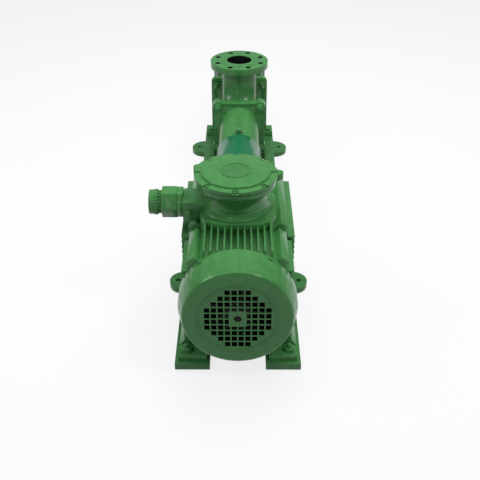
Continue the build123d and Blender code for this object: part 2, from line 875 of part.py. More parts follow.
with BuildPart() as terminal_box_lid:
    with BuildSketch(Plane.XY.offset(lid_z)):
        with Locations((box_x, box_y)):
            Circle(lid_radius)
    extrude(amount=lid_thick)
    with BuildSketch(Plane.XY.offset(lid_top_z)):
        with Locations((box_x, box_y)):
            Circle(dome_radius)
    extrude(amount=dome_height)
    fillet(terminal_box_lid.faces().sort_by(Axis.Z)[-1].edges(), dome_edge_radius)
    with BuildSketch(Plane.XY.offset(lid_top_z + dome_height)):
        with Locations((box_x, box_y)):
            Circle(dome_ring_radius)
            Circle(dome_ring_radius - dome_ring_width, mode=Mode.SUBTRACT)
    extrude(amount=dome_ring_height)
    with BuildSketch(Plane.XY.offset(lid_z)):
        with Locations((box_x, box_y)):
            Circle(box_mouth_radius)
    extrude(amount=lid_recess, mode=Mode.SUBTRACT)
    with BuildSketch(Plane.XY.offset(lid_z)):
        with Locations((box_x, box_y)):
            with PolarLocations(lid_screw_pitch_radius, lid_screw_count, start_angle=-90):
                Circle(lid_screw_radius)
    extrude(amount=lid_thick, mode=Mode.SUBTRACT)
    with BuildSketch(Plane.XY.offset(lid_top_z - lid_notch_depth)):
        with Locations((box_x, box_y)):
            with PolarLocations(lid_screw_pitch_radius, lid_screw_count, start_angle=-90):
                Circle(lid_notch_radius)
                with Locations((lid_notch_radius, 0)):
                    Rectangle(2 * lid_notch_radius, 2 * lid_notch_radius)
    extrude(amount=lid_notch_depth + dome_height, mode=Mode.SUBTRACT)
save(terminal_box_lid.part, "terminal_box_lid")

with BuildPart() as lid_screws:
    with BuildSketch(Plane.XY.offset(lid_top_z - lid_notch_depth)):
        with Locations((box_x, box_y)):
            with PolarLocations(lid_screw_pitch_radius, lid_screw_count, start_angle=-90):
                Circle(lid_screw_head)
    extrude(amount=lid_notch_depth - lid_screw_sink)
    with BuildSketch(Plane.XY.offset(lid_top_z - lid_screw_sink - lid_socket_depth)):
        with Locations((box_x, box_y)):
            with PolarLocations(lid_screw_pitch_radius, lid_screw_count, start_angle=-90):
                RegularPolygon(lid_socket_radius, 6)
    extrude(amount=lid_notch_depth, mode=Mode.SUBTRACT)
    with BuildSketch(Plane.XY.offset(box_top_z - box_rim_height / 2)):
        with Locations((box_x, box_y)):
            with PolarLocations(lid_screw_pitch_radius, lid_screw_count, start_angle=-90):
                Circle(lid_screw_radius)
    extrude(amount=lid_top_z - lid_notch_depth - box_top_z + box_rim_height / 2)
save(lid_screws.part, "lid_screws")

board_z = box_base_z + box_wall
with BuildPart() as terminal_block:
    with BuildSketch(Plane.XY.offset(board_z)):
        with Locations((box_x, box_y)):
            Rectangle(board_length, board_width)
    extrude(amount=board_thick)
save(terminal_block.part, "terminal_block")

with BuildPart() as terminal_studs:
    with BuildSketch(Plane.XY.offset(board_z + board_thick)):
        with Locations((box_x, box_y)):
            with GridLocations(stud_pitch, stud_pitch, 3, 2):
                Circle(stud_radius)
    extrude(amount=stud_height)
    with BuildSketch(Plane.XY.offset(board_z + board_thick)):
        with Locations((box_x, box_y)):
            with GridLocations(stud_pitch, stud_pitch, 3, 2):
                RegularPolygon(stud_nut_radius, 6)
    extrude(amount=stud_nut_height)
save(terminal_studs.part, "terminal_studs")

with BuildPart() as earth_screw:
    with BuildSketch(Plane((-earth_screw_x, box_y - gland_boss_width / 2, shaft_height + earth_screw_height),
                           x_dir=(1, 0, 0), z_dir=(0, -1, 0))):
        Circle(earth_screw_radius)
    extrude(amount=earth_screw_head)
save(earth_screw.part, "earth_screw")

# Cable gland: locknut, body, compression nut and seal, all on the boss's axis
gland_hex_x = locknut_length
gland_neck_x = gland_hex_x + gland_hex_length
gland_ring_x = gland_neck_x + gland_neck_length
gland_end_x = gland_ring_x + gland_ring_length

with BuildPart() as gland_locknut:
    with BuildSketch(gland_plane):
        RegularPolygon(locknut_across / 2, 6, major_radius=False)
        Circle(gland_thread_radius, mode=Mode.SUBTRACT)
    extrude(amount=locknut_length)
save(gland_locknut.part, "gland_locknut")

with BuildPart() as gland_body:
    with BuildSketch(gland_plane.offset(-gland_thread_length)):
        Circle(gland_thread_radius)
    extrude(amount=gland_thread_length + gland_hex_x)
    with BuildSketch(gland_plane.offset(gland_hex_x)):
        RegularPolygon(gland_hex_across / 2, 6, major_radius=False)
    extrude(amount=gland_hex_length)
    with BuildSketch(gland_plane.offset(gland_neck_x)):
        Circle(gland_neck_radius)
    extrude(amount=gland_neck_length + gland_ring_length / 2)
    with BuildSketch(gland_plane.offset(-gland_thread_length)):
        Circle(gland_cable_radius)
    extrude(amount=gland_thread_length + gland_end_x, mode=Mode.SUBTRACT)
    with BuildSketch(gland_plane.offset(gland_neck_x)):
        Circle(gland_seal_radius)
    extrude(amount=gland_neck_length + gland_ring_length, mode=Mode.SUBTRACT)
save(gland_body.part, "gland_body")

with BuildPart() as gland_nut:
    with BuildSketch(gland_plane.offset(gland_ring_x)):
        Circle(gland_ring_radius)
        Circle(gland_neck_radius, mode=Mode.SUBTRACT)
    extrude(amount=gland_ring_length)
    with BuildSketch(gland_plane.offset(gland_ring_x + gland_ring_length / 2)):
        Circle(gland_neck_radius)
        Circle(gland_cable_radius, mode=Mode.SUBTRACT)
    extrude(amount=gland_ring_length / 2 - gland_mouth)
save(gland_nut.part, "gland_nut")

with BuildPart() as gland_seal:
    with BuildSketch(gland_plane.offset(gland_neck_x)):
        Circle(gland_seal_radius)
        Circle(gland_cable_radius, mode=Mode.SUBTRACT)
    extrude(amount=gland_neck_length + gland_ring_length / 2)
save(gland_seal.part, "gland_seal")


# Jaw coupling between the motor and the drive shaft
def jaw_sketch(y, start_angle, inset=0):
    """Ring sectors that take turns around the coupling."""
    half = 180 / jaw_count / 2 - inset
    with BuildSketch(across(y)) as jaws:
        for index in range(jaw_count):
            middle = start_angle + index * 360 / jaw_count
            Polygon(
                (0, 0),
                *[(2 * coupling_radius * cos(radians(middle + turn)),
                   2 * coupling_radius * sin(radians(middle + turn))) for turn in (-half, 0, half)],
                align=None,
            )
        Circle(coupling_radius, mode=Mode.INTERSECT)
        Circle(jaw_inner_radius, mode=Mode.SUBTRACT)
    return jaws.sketch


jaw_step = 180 / jaw_count
jaw_length = coupling_gap - jaw_clearance
spider_start = motor_shaft_end + spider_gap
with BuildPart() as motor_coupling_half:
    revolve(tube(motor_hub_y, motor_shaft_end, coupling_radius, motor_end_radius), axis=shaft_axis)
    extrude(jaw_sketch(motor_shaft_end, 90, inset=jaw_inset), amount=-jaw_length)
    with BuildSketch(Plane.XY.offset(shaft_height)):
        with Locations((0, motor_hub_y + coupling_hub_length / 2)):
            Rectangle(key_width, key_length)
    extrude(amount=motor_end_radius + key_height / 2, mode=Mode.SUBTRACT)
save(motor_coupling_half.part, "motor_coupling_half")

with BuildPart() as pump_coupling_half:
    revolve(tube(pump_hub_y, pump_hub_y + coupling_hub_length, coupling_radius, drive_end_radius),
            axis=shaft_axis)
    extrude(jaw_sketch(pump_hub_y, 90 + jaw_step, inset=jaw_inset), amount=jaw_length)
    with BuildSketch(Plane.XY.offset(shaft_height)):
        with Locations((0, pump_hub_y + coupling_hub_length / 2)):
            Rectangle(key_width, key_length)
    extrude(amount=drive_end_radius + key_height / 2, mode=Mode.SUBTRACT)
save(pump_coupling_half.part, "pump_coupling_half")

with BuildPart() as coupling_spider:
    with BuildSketch(across(spider_start)):
        Circle(spider_radius)
        Circle(spider_bore, mode=Mode.SUBTRACT)
    extrude(amount=-(coupling_gap - 2 * spider_gap))
    extrude(jaw_sketch(motor_shaft_end, 90, inset=spider_inset), amount=-coupling_gap, mode=Mode.SUBTRACT)
    extrude(jaw_sketch(motor_shaft_end, 90 + jaw_step, inset=spider_inset), amount=-coupling_gap,
            mode=Mode.SUBTRACT)
save(coupling_spider.part, "coupling_spider")

with BuildPart() as shaft_keys:
    for hub_y in (motor_hub_y, pump_hub_y):
        with BuildSketch(Plane.XY.offset(shaft_height + motor_end_radius - key_height / 2)):
            with Locations((0, hub_y + coupling_hub_length / 2)):
                Rectangle(key_width, key_length)
        extrude(amount=key_height)
save(shaft_keys.part, "shaft_keys")

# Coupling guard: an arch with straight skirts, bolted down on the rails
guard_start = motor_nose_y + guard_gap
guard_length = housing_y - guard_gap - guard_start
guard_floor = rail_height - shaft_height
guard_screw_ys = (guard_start + guard_screw_inset, guard_start + guard_length - guard_screw_inset)
guard_points = [(side * rail_x, y) for side in (-1, 1) for y in guard_screw_ys]

with BuildPart() as coupling_guard:
    with BuildSketch(across(guard_start)):
        Circle(guard_radius)
        with Locations((0, guard_floor / 2)):
            Rectangle(2 * guard_radius, -guard_floor)
        with Locations((0, guard_floor + guard_wall / 2)):
            Rectangle(2 * (guard_radius + guard_flange), guard_wall)
        Circle(guard_radius - guard_wall, mode=Mode.SUBTRACT)
        with Locations((0, guard_floor / 2)):
            Rectangle(2 * (guard_radius - guard_wall), -guard_floor, mode=Mode.SUBTRACT)
    extrude(amount=-guard_length)
    with BuildSketch(Plane.XY.offset(rail_height)):
        with Locations(*guard_points):
            Circle(guard_screw_radius)
    extrude(amount=guard_wall, mode=Mode.SUBTRACT)
save(coupling_guard.part, "coupling_guard")

save(hex_bolts(guard_points, rail_height + guard_wall, guard_screw_radius, guard_wall), "guard_screws")

# Bearing housing with its square plate
inner_wall_y = second_bearing_y + pump_bearing_width
chamber_y = inner_wall_y + inner_wall
plug_y = housing_y + plug_from_housing_end

with BuildPart() as bearing_housing:
    revolve(tube(housing_y, housing_plate_y, housing_radius), axis=shaft_axis)
    revolve(
        turned(
            (housing_plate_y - housing_flare_length, 0),
            (housing_plate_y - housing_flare_length, housing_radius),
            (housing_plate_y, housing_flare_radius),
            (housing_plate_y, 0),
        ),
        axis=shaft_axis,
    )
    extrude(joint_plate_face(housing_plate_y), amount=-joint_plate)
    with BuildSketch(Plane.XY.offset(shaft_height)):
        with Locations((0, plug_y)):
            Circle(plug_boss_radius)
    extrude(amount=housing_radius + plug_boss_height)
    revolve(tube(housing_y, inner_wall_y, pump_bearing_outer), axis=shaft_axis, mode=Mode.SUBTRACT)
    revolve(tube(inner_wall_y, chamber_y, pump_journal_radius + moving_clearance), axis=shaft_axis,
            mode=Mode.SUBTRACT)
    revolve(tube(chamber_y, joint_y, seal_chamber_radius), axis=shaft_axis, mode=Mode.SUBTRACT)
    with BuildSketch(Plane.XY.offset(shaft_height)):
        with Locations((0, plug_y)):
            Circle(plug_thread_radius)
    extrude(amount=2 * housing_radius, mode=Mode.SUBTRACT)
save(bearing_housing.part, "bearing_housing")

with BuildPart() as housing_plug:
    with BuildSketch(Plane.XY.offset(shaft_height + housing_radius + plug_boss_height)):
        with Locations((0, plug_y)):
            RegularPolygon(plug_across / 2, 6, major_radius=False)
    extrude(amount=plug_height)
    with BuildSketch(Plane.XY.offset(shaft_height + housing_radius + plug_boss_height - plug_thread_length)):
        with Locations((0, plug_y)):
            Circle(plug_thread_radius)
    extrude(amount=plug_thread_length)
save(housing_plug.part, "housing_plug")

with BuildPart() as bearing_cover:
    revolve(
        turned(
            (housing_y - cover_thick, drive_end_radius + moving_clearance),
            (housing_y - cover_thick, housing_radius),
            (housing_y, housing_radius),
            (housing_y, pump_bearing_outer),
            (first_bearing_y, pump_bearing_outer),
            (first_bearing_y, pump_bearing_outer - spigot_wall),
            (housing_y, pump_bearing_outer - spigot_wall),
            (housing_y, drive_end_radius + moving_clearance),
        ),
        axis=shaft_axis,
    )
save(bearing_cover.part, "bearing_cover")

with BuildPart() as cover_screws:
    with BuildSketch(across(housing_y - cover_thick)):
        with PolarLocations(cover_screw_pitch_radius, cover_screw_count):
            Circle(cover_screw_head_radius)
    extrude(amount=cover_screw_head_height)
save(cover_screws.part, "cover_screws")

with BuildPart() as bearing_spacer:
    revolve(tube(first_bearing_y + pump_bearing_width, second_bearing_y, pump_bearing_outer,
                 pump_bearing_outer - spigot_wall), axis=shaft_axis)
save(bearing_spacer.part, "bearing_spacer")

# Drive shaft, with the socket for the connecting rod at its wet end
packing_end_y = joint_y + packing_ring_count * packing_ring_length
stuffing_end_y = packing_end_y + stuffing_wall
head_mouth_y = shaft_joint_y + joint_mouth
head_back_y = shaft_joint_y - joint_back

with BuildPart() as drive_shaft:
    revolve(tube(pump_hub_y, first_bearing_y, drive_end_radius), axis=shaft_axis)
    revolve(tube(first_bearing_y, chamber_y, pump_journal_radius), axis=shaft_axis)
    revolve(tube(chamber_y, head_back_y, seal_shaft_radius), axis=shaft_axis)
    revolve(tube(head_back_y - joint_web, head_mouth_y, joint_head_radius), axis=shaft_axis)
    revolve(tube(head_back_y, head_mouth_y, rod_end_radius + moving_clearance), axis=shaft_axis,
            mode=Mode.SUBTRACT)
    with BuildSketch(Plane.XY.offset(shaft_height + drive_end_radius - key_height / 2)):
        with Locations((0, pump_hub_y + coupling_hub_length / 2)):
            Rectangle(key_width, key_length)
    extrude(amount=key_height, mode=Mode.SUBTRACT)
    with BuildSketch(Plane((0, shaft_joint_y, shaft_height), x_dir=(0, 1, 0), z_dir=(1, 0, 0))):
        Circle(joint_pin_radius)
    extrude(amount=joint_head_radius, both=True, mode=Mode.SUBTRACT)
save(drive_shaft.part, "drive_shaft")

# Shaft seal: packing rings, the follower that presses them and its studs
with BuildPart() as packing_rings:
    for index in range(packing_ring_count):
        start = joint_y + index * packing_ring_length
        with BuildSketch(across(start)):
            Circle(packing_radius)
            Circle(seal_shaft_radius + running_clearance, mode=Mode.SUBTRACT)
        extrude(amount=-(packing_ring_length - packing_gap))
save(packing_rings.part, "packing_rings")

follower_y = joint_y - follower_reach
with BuildPart() as gland_follower:
    revolve(tube(follower_y, joint_y - packing_gap, packing_radius - packing_gap,
                 seal_shaft_radius + moving_clearance), axis=shaft_axis)
    revolve(tube(follower_y - follower_flange_thick, follower_y, follower_flange_radius,
                 seal_shaft_radius + moving_clearance), axis=shaft_axis)
    with BuildSketch(across(follower_y)):
        with PolarLocations(gland_stud_pitch_radius, 2):
            Circle(gland_stud_radius + packing_gap)
    extrude(amount=follower_flange_thick, mode=Mode.SUBTRACT)
save(gland_follower.part, "gland_follower")

with BuildPart() as gland_studs:
    with BuildSketch(across(joint_y)):
        with PolarLocations(gland_stud_pitch_radius, 2):
            Circle(gland_stud_radius)
    extrude(amount=follower_reach + follower_flange_thick + gland_stud_nut + gland_stud_stickout)
    with BuildSketch(across(follower_y - follower_flange_thick)):
        with PolarLocations(gland_stud_pitch_radius, 2):
            RegularPolygon(gland_stud_nut_width / 2, 6, major_radius=False)
    extrude(amount=gland_stud_nut)
save(gland_studs.part, "gland_studs")

# Suction casing: a barrel between two square plates, an upright flanged port and a foot
port_top_z = shaft_height + port_height
foot_bolt_points = [(side * pump_foot_bolt_x, pump_foot_bolt_y) for side in (-1, 1)]
with BuildPart() as neck_flare:
    with BuildSketch(lengthwise):
        with BuildLine():
            Polyline((0, flare_top_height), (0, 0), (flare_foot_radius, 0),
                     (flare_foot_radius, flare_foot_height))
            ThreePointArc((flare_foot_radius, flare_foot_height), (flare_middle_radius, flare_middle_height),
                          (neck_radius, flare_top_height))
            Line((neck_radius, flare_top_height), (0, flare_top_height))
        make_face()
    revolve(axis=Axis.Z)
    with BuildSketch(across(joint_y + joint_plate)):
        Rectangle(2 * flare_half_width, 2 * flare_top_height)
    extrude(amount=-(casing_rear - rear_plate - joint_y - joint_plate), mode=Mode.INTERSECT)

with BuildPart() as suction_casing:
    revolve(tube(joint_y, casing_rear, casing_radius), axis=shaft_axis)
    with BuildSketch(Plane.XY.offset(shaft_height)):
        Circle(neck_radius)
    extrude(amount=port_height)
    add(neck_flare.part)
    extrude(joint_plate_face(joint_y), amount=-joint_plate)
    extrude(rod_plate_face(casing_rear - rear_plate, rear_width), amount=-rear_plate)
    with BuildSketch(Plane.XY.offset(port_top_z - port_flange_thick)):
        Circle(port_flange_radius)
    extrude(amount=port_flange_thick)
    with BuildSketch(Plane.XY.offset(rail_height)):
        with Locations((0, pump_foot_y)):
            Rectangle(pump_foot_width, pump_foot_length)
    extrude(amount=pump_foot_thick)
    with BuildSketch(Plane.XY.offset(rail_height)):
        with Locations((0, pump_foot_y)):
            Rectangle(2 * casing_radius, pump_foot_web)
    extrude(amount=shaft_height - rail_height)
    with BuildSketch(Plane.XY.offset(rail_height)):
        with Locations((0, (pump_foot_start + casing_rear) / 2)):
            Rectangle(pump_foot_web, casing_rear - pump_foot_start)
    extrude(amount=shaft_height - rail_height)
    revolve(
        turned(
            (joint_y, 0),
            (joint_y, packing_radius),
            (packing_end_y, packing_radius),
            (packing_end_y, seal_shaft_radius + moving_clearance),
            (stuffing_end_y, seal_shaft_radius + moving_clearance),
            (stuffing_end_y, casing_bore),
            (stator_start_y, casing_bore),
            (stator_start_y, stator_radius),
            (casing_rear, stator_radius),
            (casing_rear, 0),
        ),
        axis=shaft_axis,
        mode=Mode.SUBTRACT,
    )
    with BuildSketch(Plane.XY.offset(shaft_height)):
        Circle(port_radius)
    extrude(amount=port_height, mode=Mode.SUBTRACT)
    with BuildSketch(Plane.XY.offset(port_top_z)):
        with PolarLocations(port_bolt_circle_diameter / 2, port_bolt_count,
                            start_angle=180 / port_bolt_count):
            Circle(port_bolt_radius)
    extrude(amount=-port_flange_thick, mode=Mode.SUBTRACT)
    with BuildSketch(Plane.XY.offset(rail_height)):
        with Locations(*foot_bolt_points):
            Circle(pump_foot_bolt_radius)
    extrude(amount=pump_foot_thick, mode=Mode.SUBTRACT)
    with BuildSketch(Plane.XY.offset(rail_height + pump_foot_thick)):
        with Locations(*foot_bolt_points):
            Circle(pump_foot_recess_radius)
    extrude(amount=-pump_foot_recess_depth, mode=Mode.SUBTRACT)
    with BuildSketch(Plane.XY.offset(shaft_height - casing_radius)):
        with Locations((0, -casing_bore)):
            Circle(drain_radius)
    extrude(amount=casing_radius, mode=Mode.SUBTRACT)
save(suction_casing.part, "suction_casing")

with BuildPart() as drain_plug:
    with BuildSketch(Plane.XY.offset(shaft_height - casing_radius)):
        with Locations((0, -casing_bore)):
            Circle(drain_radius)
    extrude(amount=casing_radius - casing_bore)
    with BuildSketch(Plane.XY.offset(shaft_height - casing_radius)):
        with Locations((0, -casing_bore)):
            RegularPolygon(drain_across / 2, 6, major_radius=False)
    extrude(amount=-drain_across / 2)
save(drain_plug.part, "drain_plug")

save(hex_bolts(foot_bolt_points, rail_height + pump_foot_thick - pump_foot_recess_depth,
               pump_foot_bolt_radius, pump_foot_thick), "pump_foot_bolts")

joint_stud_reach = joint_nut_length + joint_stud_stickout
with BuildPart() as casing_bolts:
    with BuildSketch(across(housing_plate_y), across(joint_y + joint_plate + joint_nut_length)):
        with GridLocations(2 * joint_bolt_x, 2 * joint_bolt_z, 2, 2):
            RegularPolygon(joint_nut_width / 2, 6, major_radius=False)
    extrude(amount=joint_nut_length)
    with BuildSketch(across(joint_y + joint_plate + joint_stud_reach)):
        with GridLocations(2 * joint_bolt_x, 2 * joint_bolt_z, 2, 2):
            Circle(joint_bolt_radius - bolt_clearance)
    extrude(amount=2 * joint_plate + 2 * joint_stud_reach)
save(casing_bolts.part, "casing_bolts")

# Connecting rod: a round rod with ball ends, tilted from the shaft's axis to the rotor's axis
rod_length = rotor_joint_y - shaft_joint_y
rod_tilt = degrees(asin(eccentricity / rod_length))
rod_start = Vector(0, shaft_joint_y, shaft_height)
rod_end = Vector(eccentricity, rotor_joint_y, shaft_height)
rod_plane = Plane(rod_start, x_dir=(0, 0, 1), z_dir=rod_end - rod_start)
rod_span = (rod_end - rod_start).length

with BuildPart() as connecting_rod:
    with BuildSketch(rod_plane):
        Circle(rod_radius)
    extrude(amount=rod_span)
    with Locations(rod_plane, rod_plane.offset(rod_span)):
        Sphere(rod_end_radius)
    for centre in (rod_start, rod_end):
        with BuildSketch(Plane(centre, x_dir=(0, 1, 0), z_dir=(1, 0, 0))):
            Circle(joint_pin_radius + joint_pin_play)
        extrude(amount=joint_head_radius, both=True, mode=Mode.SUBTRACT)
save(connecting_rod.part, "connecting_rod")

with BuildPart() as joint_boots:
    for start in (joint_mouth + boot_gap, rod_span - joint_mouth - boot_gap - boot_length):
        with BuildSketch(rod_plane.offset(start)):
            Circle(boot_radius)
            Circle(rod_radius + moving_clearance, mode=Mode.SUBTRACT)
        extrude(amount=boot_length)
save(joint_boots.part, "joint_boots")


def joint_pin(centre):
    """Cross pin that fills its head from side to side."""
    with BuildPart() as pin:
        with BuildSketch(Plane(centre, x_dir=(0, 1, 0), z_dir=(1, 0, 0))):
            Circle(joint_pin_radius)
        extrude(amount=joint_head_radius - joint_pin_inset, both=True)
    return pin.part


save(joint_pin(rod_start), "shaft_joint_pin")
save(joint_pin(rod_end), "rotor_joint_pin")

# Helical rotor: a circle offset from the rotor's axis, twisted along it
rotor_start_y = rotor_joint_y + joint_back + rotor_neck
rotor_end_y = stator_end_y + rotor_overrun
rotor_length = rotor_end_y - rotor_start_y
rotor_plane = along(rotor_start_y, eccentricity)
rotor_section = rotor_plane * Pos(eccentricity, 0) * Circle(rotor_radius - rotor_fit)
helix_body = Solid.extrude_linear_with_rotation(
    rotor_section.face(), rotor_plane.origin, (0, rotor_length, 0), 360 * rotor_length / rotor_pitch)

with BuildPart() as helical_rotor:
    add(helix_body)
    with BuildSketch(across(rotor_joint_y - joint_mouth)):
        with Locations((eccentricity, 0)):
            Circle(joint_head_radius)
    extrude(amount=-(joint_mouth + joint_back + joint_web))
    with BuildSketch(across(rotor_joint_y - joint_mouth)):
        with Locations((eccentricity, 0)):
            Circle(rod_end_radius + moving_clearance)
    extrude(amount=-(joint_mouth + joint_back), mode=Mode.SUBTRACT)
    with BuildSketch(Plane(rod_end, x_dir=(0, 1, 0), z_dir=(1, 0, 0))):
        Circle(joint_pin_radius)
    extrude(amount=joint_head_radius, both=True, mode=Mode.SUBTRACT)
save(helical_rotor.part, "helical_rotor")

# Stator: a steel tube lined with rubber whose cavity has twice the rotor's pitch
cavity_length = stator_end_y + rotor_overrun - rotor_start_y
cavity_section = along(rotor_start_y) * SlotCenterToCenter(4 * eccentricity, 2 * rotor_radius)
cavity = Solid.extrude_linear_with_rotation(
    cavity_section.face(), (0, rotor_start_y, shaft_height), (0, cavity_length, 0),
    180 * cavity_length / rotor_pitch)

with BuildPart() as stator_tube:
    revolve(tube(stator_start_y, stator_end_y, stator_radius, stator_radius - stator_wall), axis=shaft_axis)
save(stator_tube.part, "stator_tube")

with BuildPart() as stator_rubber:
    revolve(tube(stator_start_y, stator_end_y, stator_radius - stator_wall), axis=shaft_axis)
    add(cavity, mode=Mode.SUBTRACT)
save(stator_rubber.part, "stator_rubber")

# Discharge casing: square plate, short neck and flange
with BuildPart() as discharge_casing:
    extrude(rod_plate_face(discharge_y, discharge_width), amount=-discharge_plate)
    revolve(tube(discharge_plate_end, discharge_end, discharge_neck_radius), axis=shaft_axis)
    with BuildSketch(across(discharge_end - port_flange_thick)):
        Circle(port_flange_radius)
        with PolarLocations(port_bolt_circle_diameter / 2, port_bolt_count,
                            start_angle=180 / port_bolt_count):
            Circle(port_bolt_radius, mode=Mode.SUBTRACT)
    extrude(amount=-port_flange_thick)
    revolve(tube(discharge_y, discharge_end, port_radius), axis=shaft_axis, mode=Mode.SUBTRACT)
    revolve(tube(discharge_y, stator_end_y + discharge_chamber_length, discharge_chamber_radius),
            axis=shaft_axis, mode=Mode.SUBTRACT)
    revolve(tube(discharge_y, stator_end_y, stator_radius), axis=shaft_axis, mode=Mode.SUBTRACT)
save(discharge_casing.part, "discharge_casing")

# Tie rods that clamp the stator between the two casings
rod_front_y = casing_rear - rear_plate
with BuildPart() as tie_rods:
    with BuildSketch(across(rod_front_y - tie_rod_nut - tie_rod_stickout)):
        with GridLocations(2 * tie_rod_x, 2 * tie_rod_z, 2, 2):
            Circle(tie_rod_radius)
    extrude(amount=-(discharge_plate_end - rod_front_y + 2 * tie_rod_nut + tie_rod_stickout))
save(tie_rods.part, "tie_rods")

with BuildPart() as tie_rod_nuts:
    for start in (rod_front_y - tie_rod_nut, discharge_plate_end):
        with BuildSketch(across(start)):
            with GridLocations(2 * tie_rod_x, 2 * tie_rod_z, 2, 2):
                RegularPolygon(tie_rod_nut_width / 2, 6, major_radius=False)
                Circle(tie_rod_radius, mode=Mode.SUBTRACT)
        extrude(amount=-tie_rod_nut)
    with BuildSketch(across(stop_ring_y)):
        with Locations((tie_rod_x, tie_rod_z)):
            Circle(stop_ring_radius)
            Circle(tie_rod_radius, mode=Mode.SUBTRACT)
    extrude(amount=-stop_ring_length)
save(tie_rod_nuts.part, "tie_rod_nuts")
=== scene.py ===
import bpy
import json
from math import hypot, pi, radians
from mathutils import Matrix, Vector


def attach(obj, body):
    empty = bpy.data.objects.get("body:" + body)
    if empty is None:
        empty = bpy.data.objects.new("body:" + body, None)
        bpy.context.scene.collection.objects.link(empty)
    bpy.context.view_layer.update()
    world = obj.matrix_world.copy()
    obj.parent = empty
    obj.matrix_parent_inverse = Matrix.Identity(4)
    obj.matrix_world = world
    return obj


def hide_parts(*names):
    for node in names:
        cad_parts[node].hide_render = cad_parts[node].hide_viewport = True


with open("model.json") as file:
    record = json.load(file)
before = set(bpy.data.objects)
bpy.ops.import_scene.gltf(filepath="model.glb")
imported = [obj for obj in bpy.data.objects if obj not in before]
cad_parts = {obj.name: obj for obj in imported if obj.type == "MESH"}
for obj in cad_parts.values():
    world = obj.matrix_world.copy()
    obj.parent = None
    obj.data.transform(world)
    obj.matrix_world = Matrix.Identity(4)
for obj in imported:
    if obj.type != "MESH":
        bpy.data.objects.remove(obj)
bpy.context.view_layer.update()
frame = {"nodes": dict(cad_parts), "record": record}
bodyOf = {node: body for body, nodes in frame["record"]["behaviour"]["bodies"].items() for node in nodes}
slotOf = {entry["node"]: entry["material_slot"] for entry in frame["record"]["subparts"]}
print("stage: frame loaded,", len(frame["nodes"]), "nodes")

scene = bpy.context.scene
scene.view_settings.view_transform = "Standard"


def newMaterial(name):
    material = bpy.data.materials.new(name)
    material.use_nodes = True
    tree = material.node_tree
    return material, tree, tree.nodes["Principled BSDF"]


def addNode(tree, kind, **settings):
    node = tree.nodes.new(kind)
    for key, value in settings.items():
        if key in node.inputs:
            node.inputs[key].default_value = value
        else:
            setattr(node, key, value)
    return node


def mixColours(tree, factor, first, second):
    # colours or links are both taken; returns the output
    node = addNode(tree, "ShaderNodeMix", data_type="RGBA")
    for socket, value in ((node.inputs[0], factor), (node.inputs[6], first), (node.inputs[7], second)):
        if isinstance(value, bpy.types.NodeSocket):
            tree.links.new(value, socket)
        elif isinstance(value, (int, float)):
            socket.default_value = value
        else:
            socket.default_value = (*value, 1)
    return node.outputs[2]


def mapRange(tree, value, low, high, outLow, outHigh):
    node = addNode(tree, "ShaderNodeMapRange")
    tree.links.new(value, node.inputs["Value"])
    for key, number in (("From Min", low), ("From Max", high), ("To Min", outLow), ("To Max", outHigh)):
        node.inputs[key].default_value = number
    return node.outputs["Result"]


def newGroup(name, inputs, outputs):
    group = bpy.data.node_groups.new(name, "ShaderNodeTree")
    for label, kind, value in inputs:
        socket = group.interface.new_socket(label, in_out="INPUT", socket_type=kind)
        if value is not None:
            socket.default_value = value
    for label, kind in outputs:
        group.interface.new_socket(label, in_out="OUTPUT", socket_type=kind)
    return group, group.nodes.new("NodeGroupInput"), group.nodes.new("NodeGroupOutput")


def placeGroup(tree, group, **values):
    node = addNode(tree, "ShaderNodeGroup")
    node.node_tree = group
    for key, value in values.items():
        node.inputs[key.replace("_", " ")].default_value = value
    return node


def castGroup():
    # slow waviness and fine orange peel of sprayed enamel over a casting
    group, given, result = newGroup(
        "castSurface",
        [("Vector", "NodeSocketVector", None), ("Wave Scale", "NodeSocketFloat", 40.0),
         ("Peel Scale", "NodeSocketFloat", 600.0), ("Wave Depth", "NodeSocketFloat", 0.4),
         ("Peel Depth", "NodeSocketFloat", 0.1)],
        [("Normal", "NodeSocketVector"), ("Mottle", "NodeSocketFloat")])
    wave = addNode(group, "ShaderNodeTexNoise", Detail=3.0)
    peel = addNode(group, "ShaderNodeTexNoise", Detail=2.0)
    group.links.new(given.outputs["Vector"], wave.inputs["Vector"])
    group.links.new(given.outputs["Vector"], peel.inputs["Vector"])
    group.links.new(given.outputs["Wave Scale"], wave.inputs["Scale"])
    group.links.new(given.outputs["Peel Scale"], peel.inputs["Scale"])
    first = addNode(group, "ShaderNodeBump", Distance=0.001)
    group.links.new(given.outputs["Wave Depth"], first.inputs["Strength"])
    group.links.new(wave.outputs["Fac"], first.inputs["Height"])
    second = addNode(group, "ShaderNodeBump", Distance=0.0002)
    group.links.new(given.outputs["Peel Depth"], second.inputs["Strength"])
    group.links.new(peel.outputs["Fac"], second.inputs["Height"])
    group.links.new(first.outputs["Normal"], second.inputs["Normal"])
    group.links.new(second.outputs["Normal"], result.inputs["Normal"])
    group.links.new(wave.outputs["Fac"], result.inputs["Mottle"])
    return group


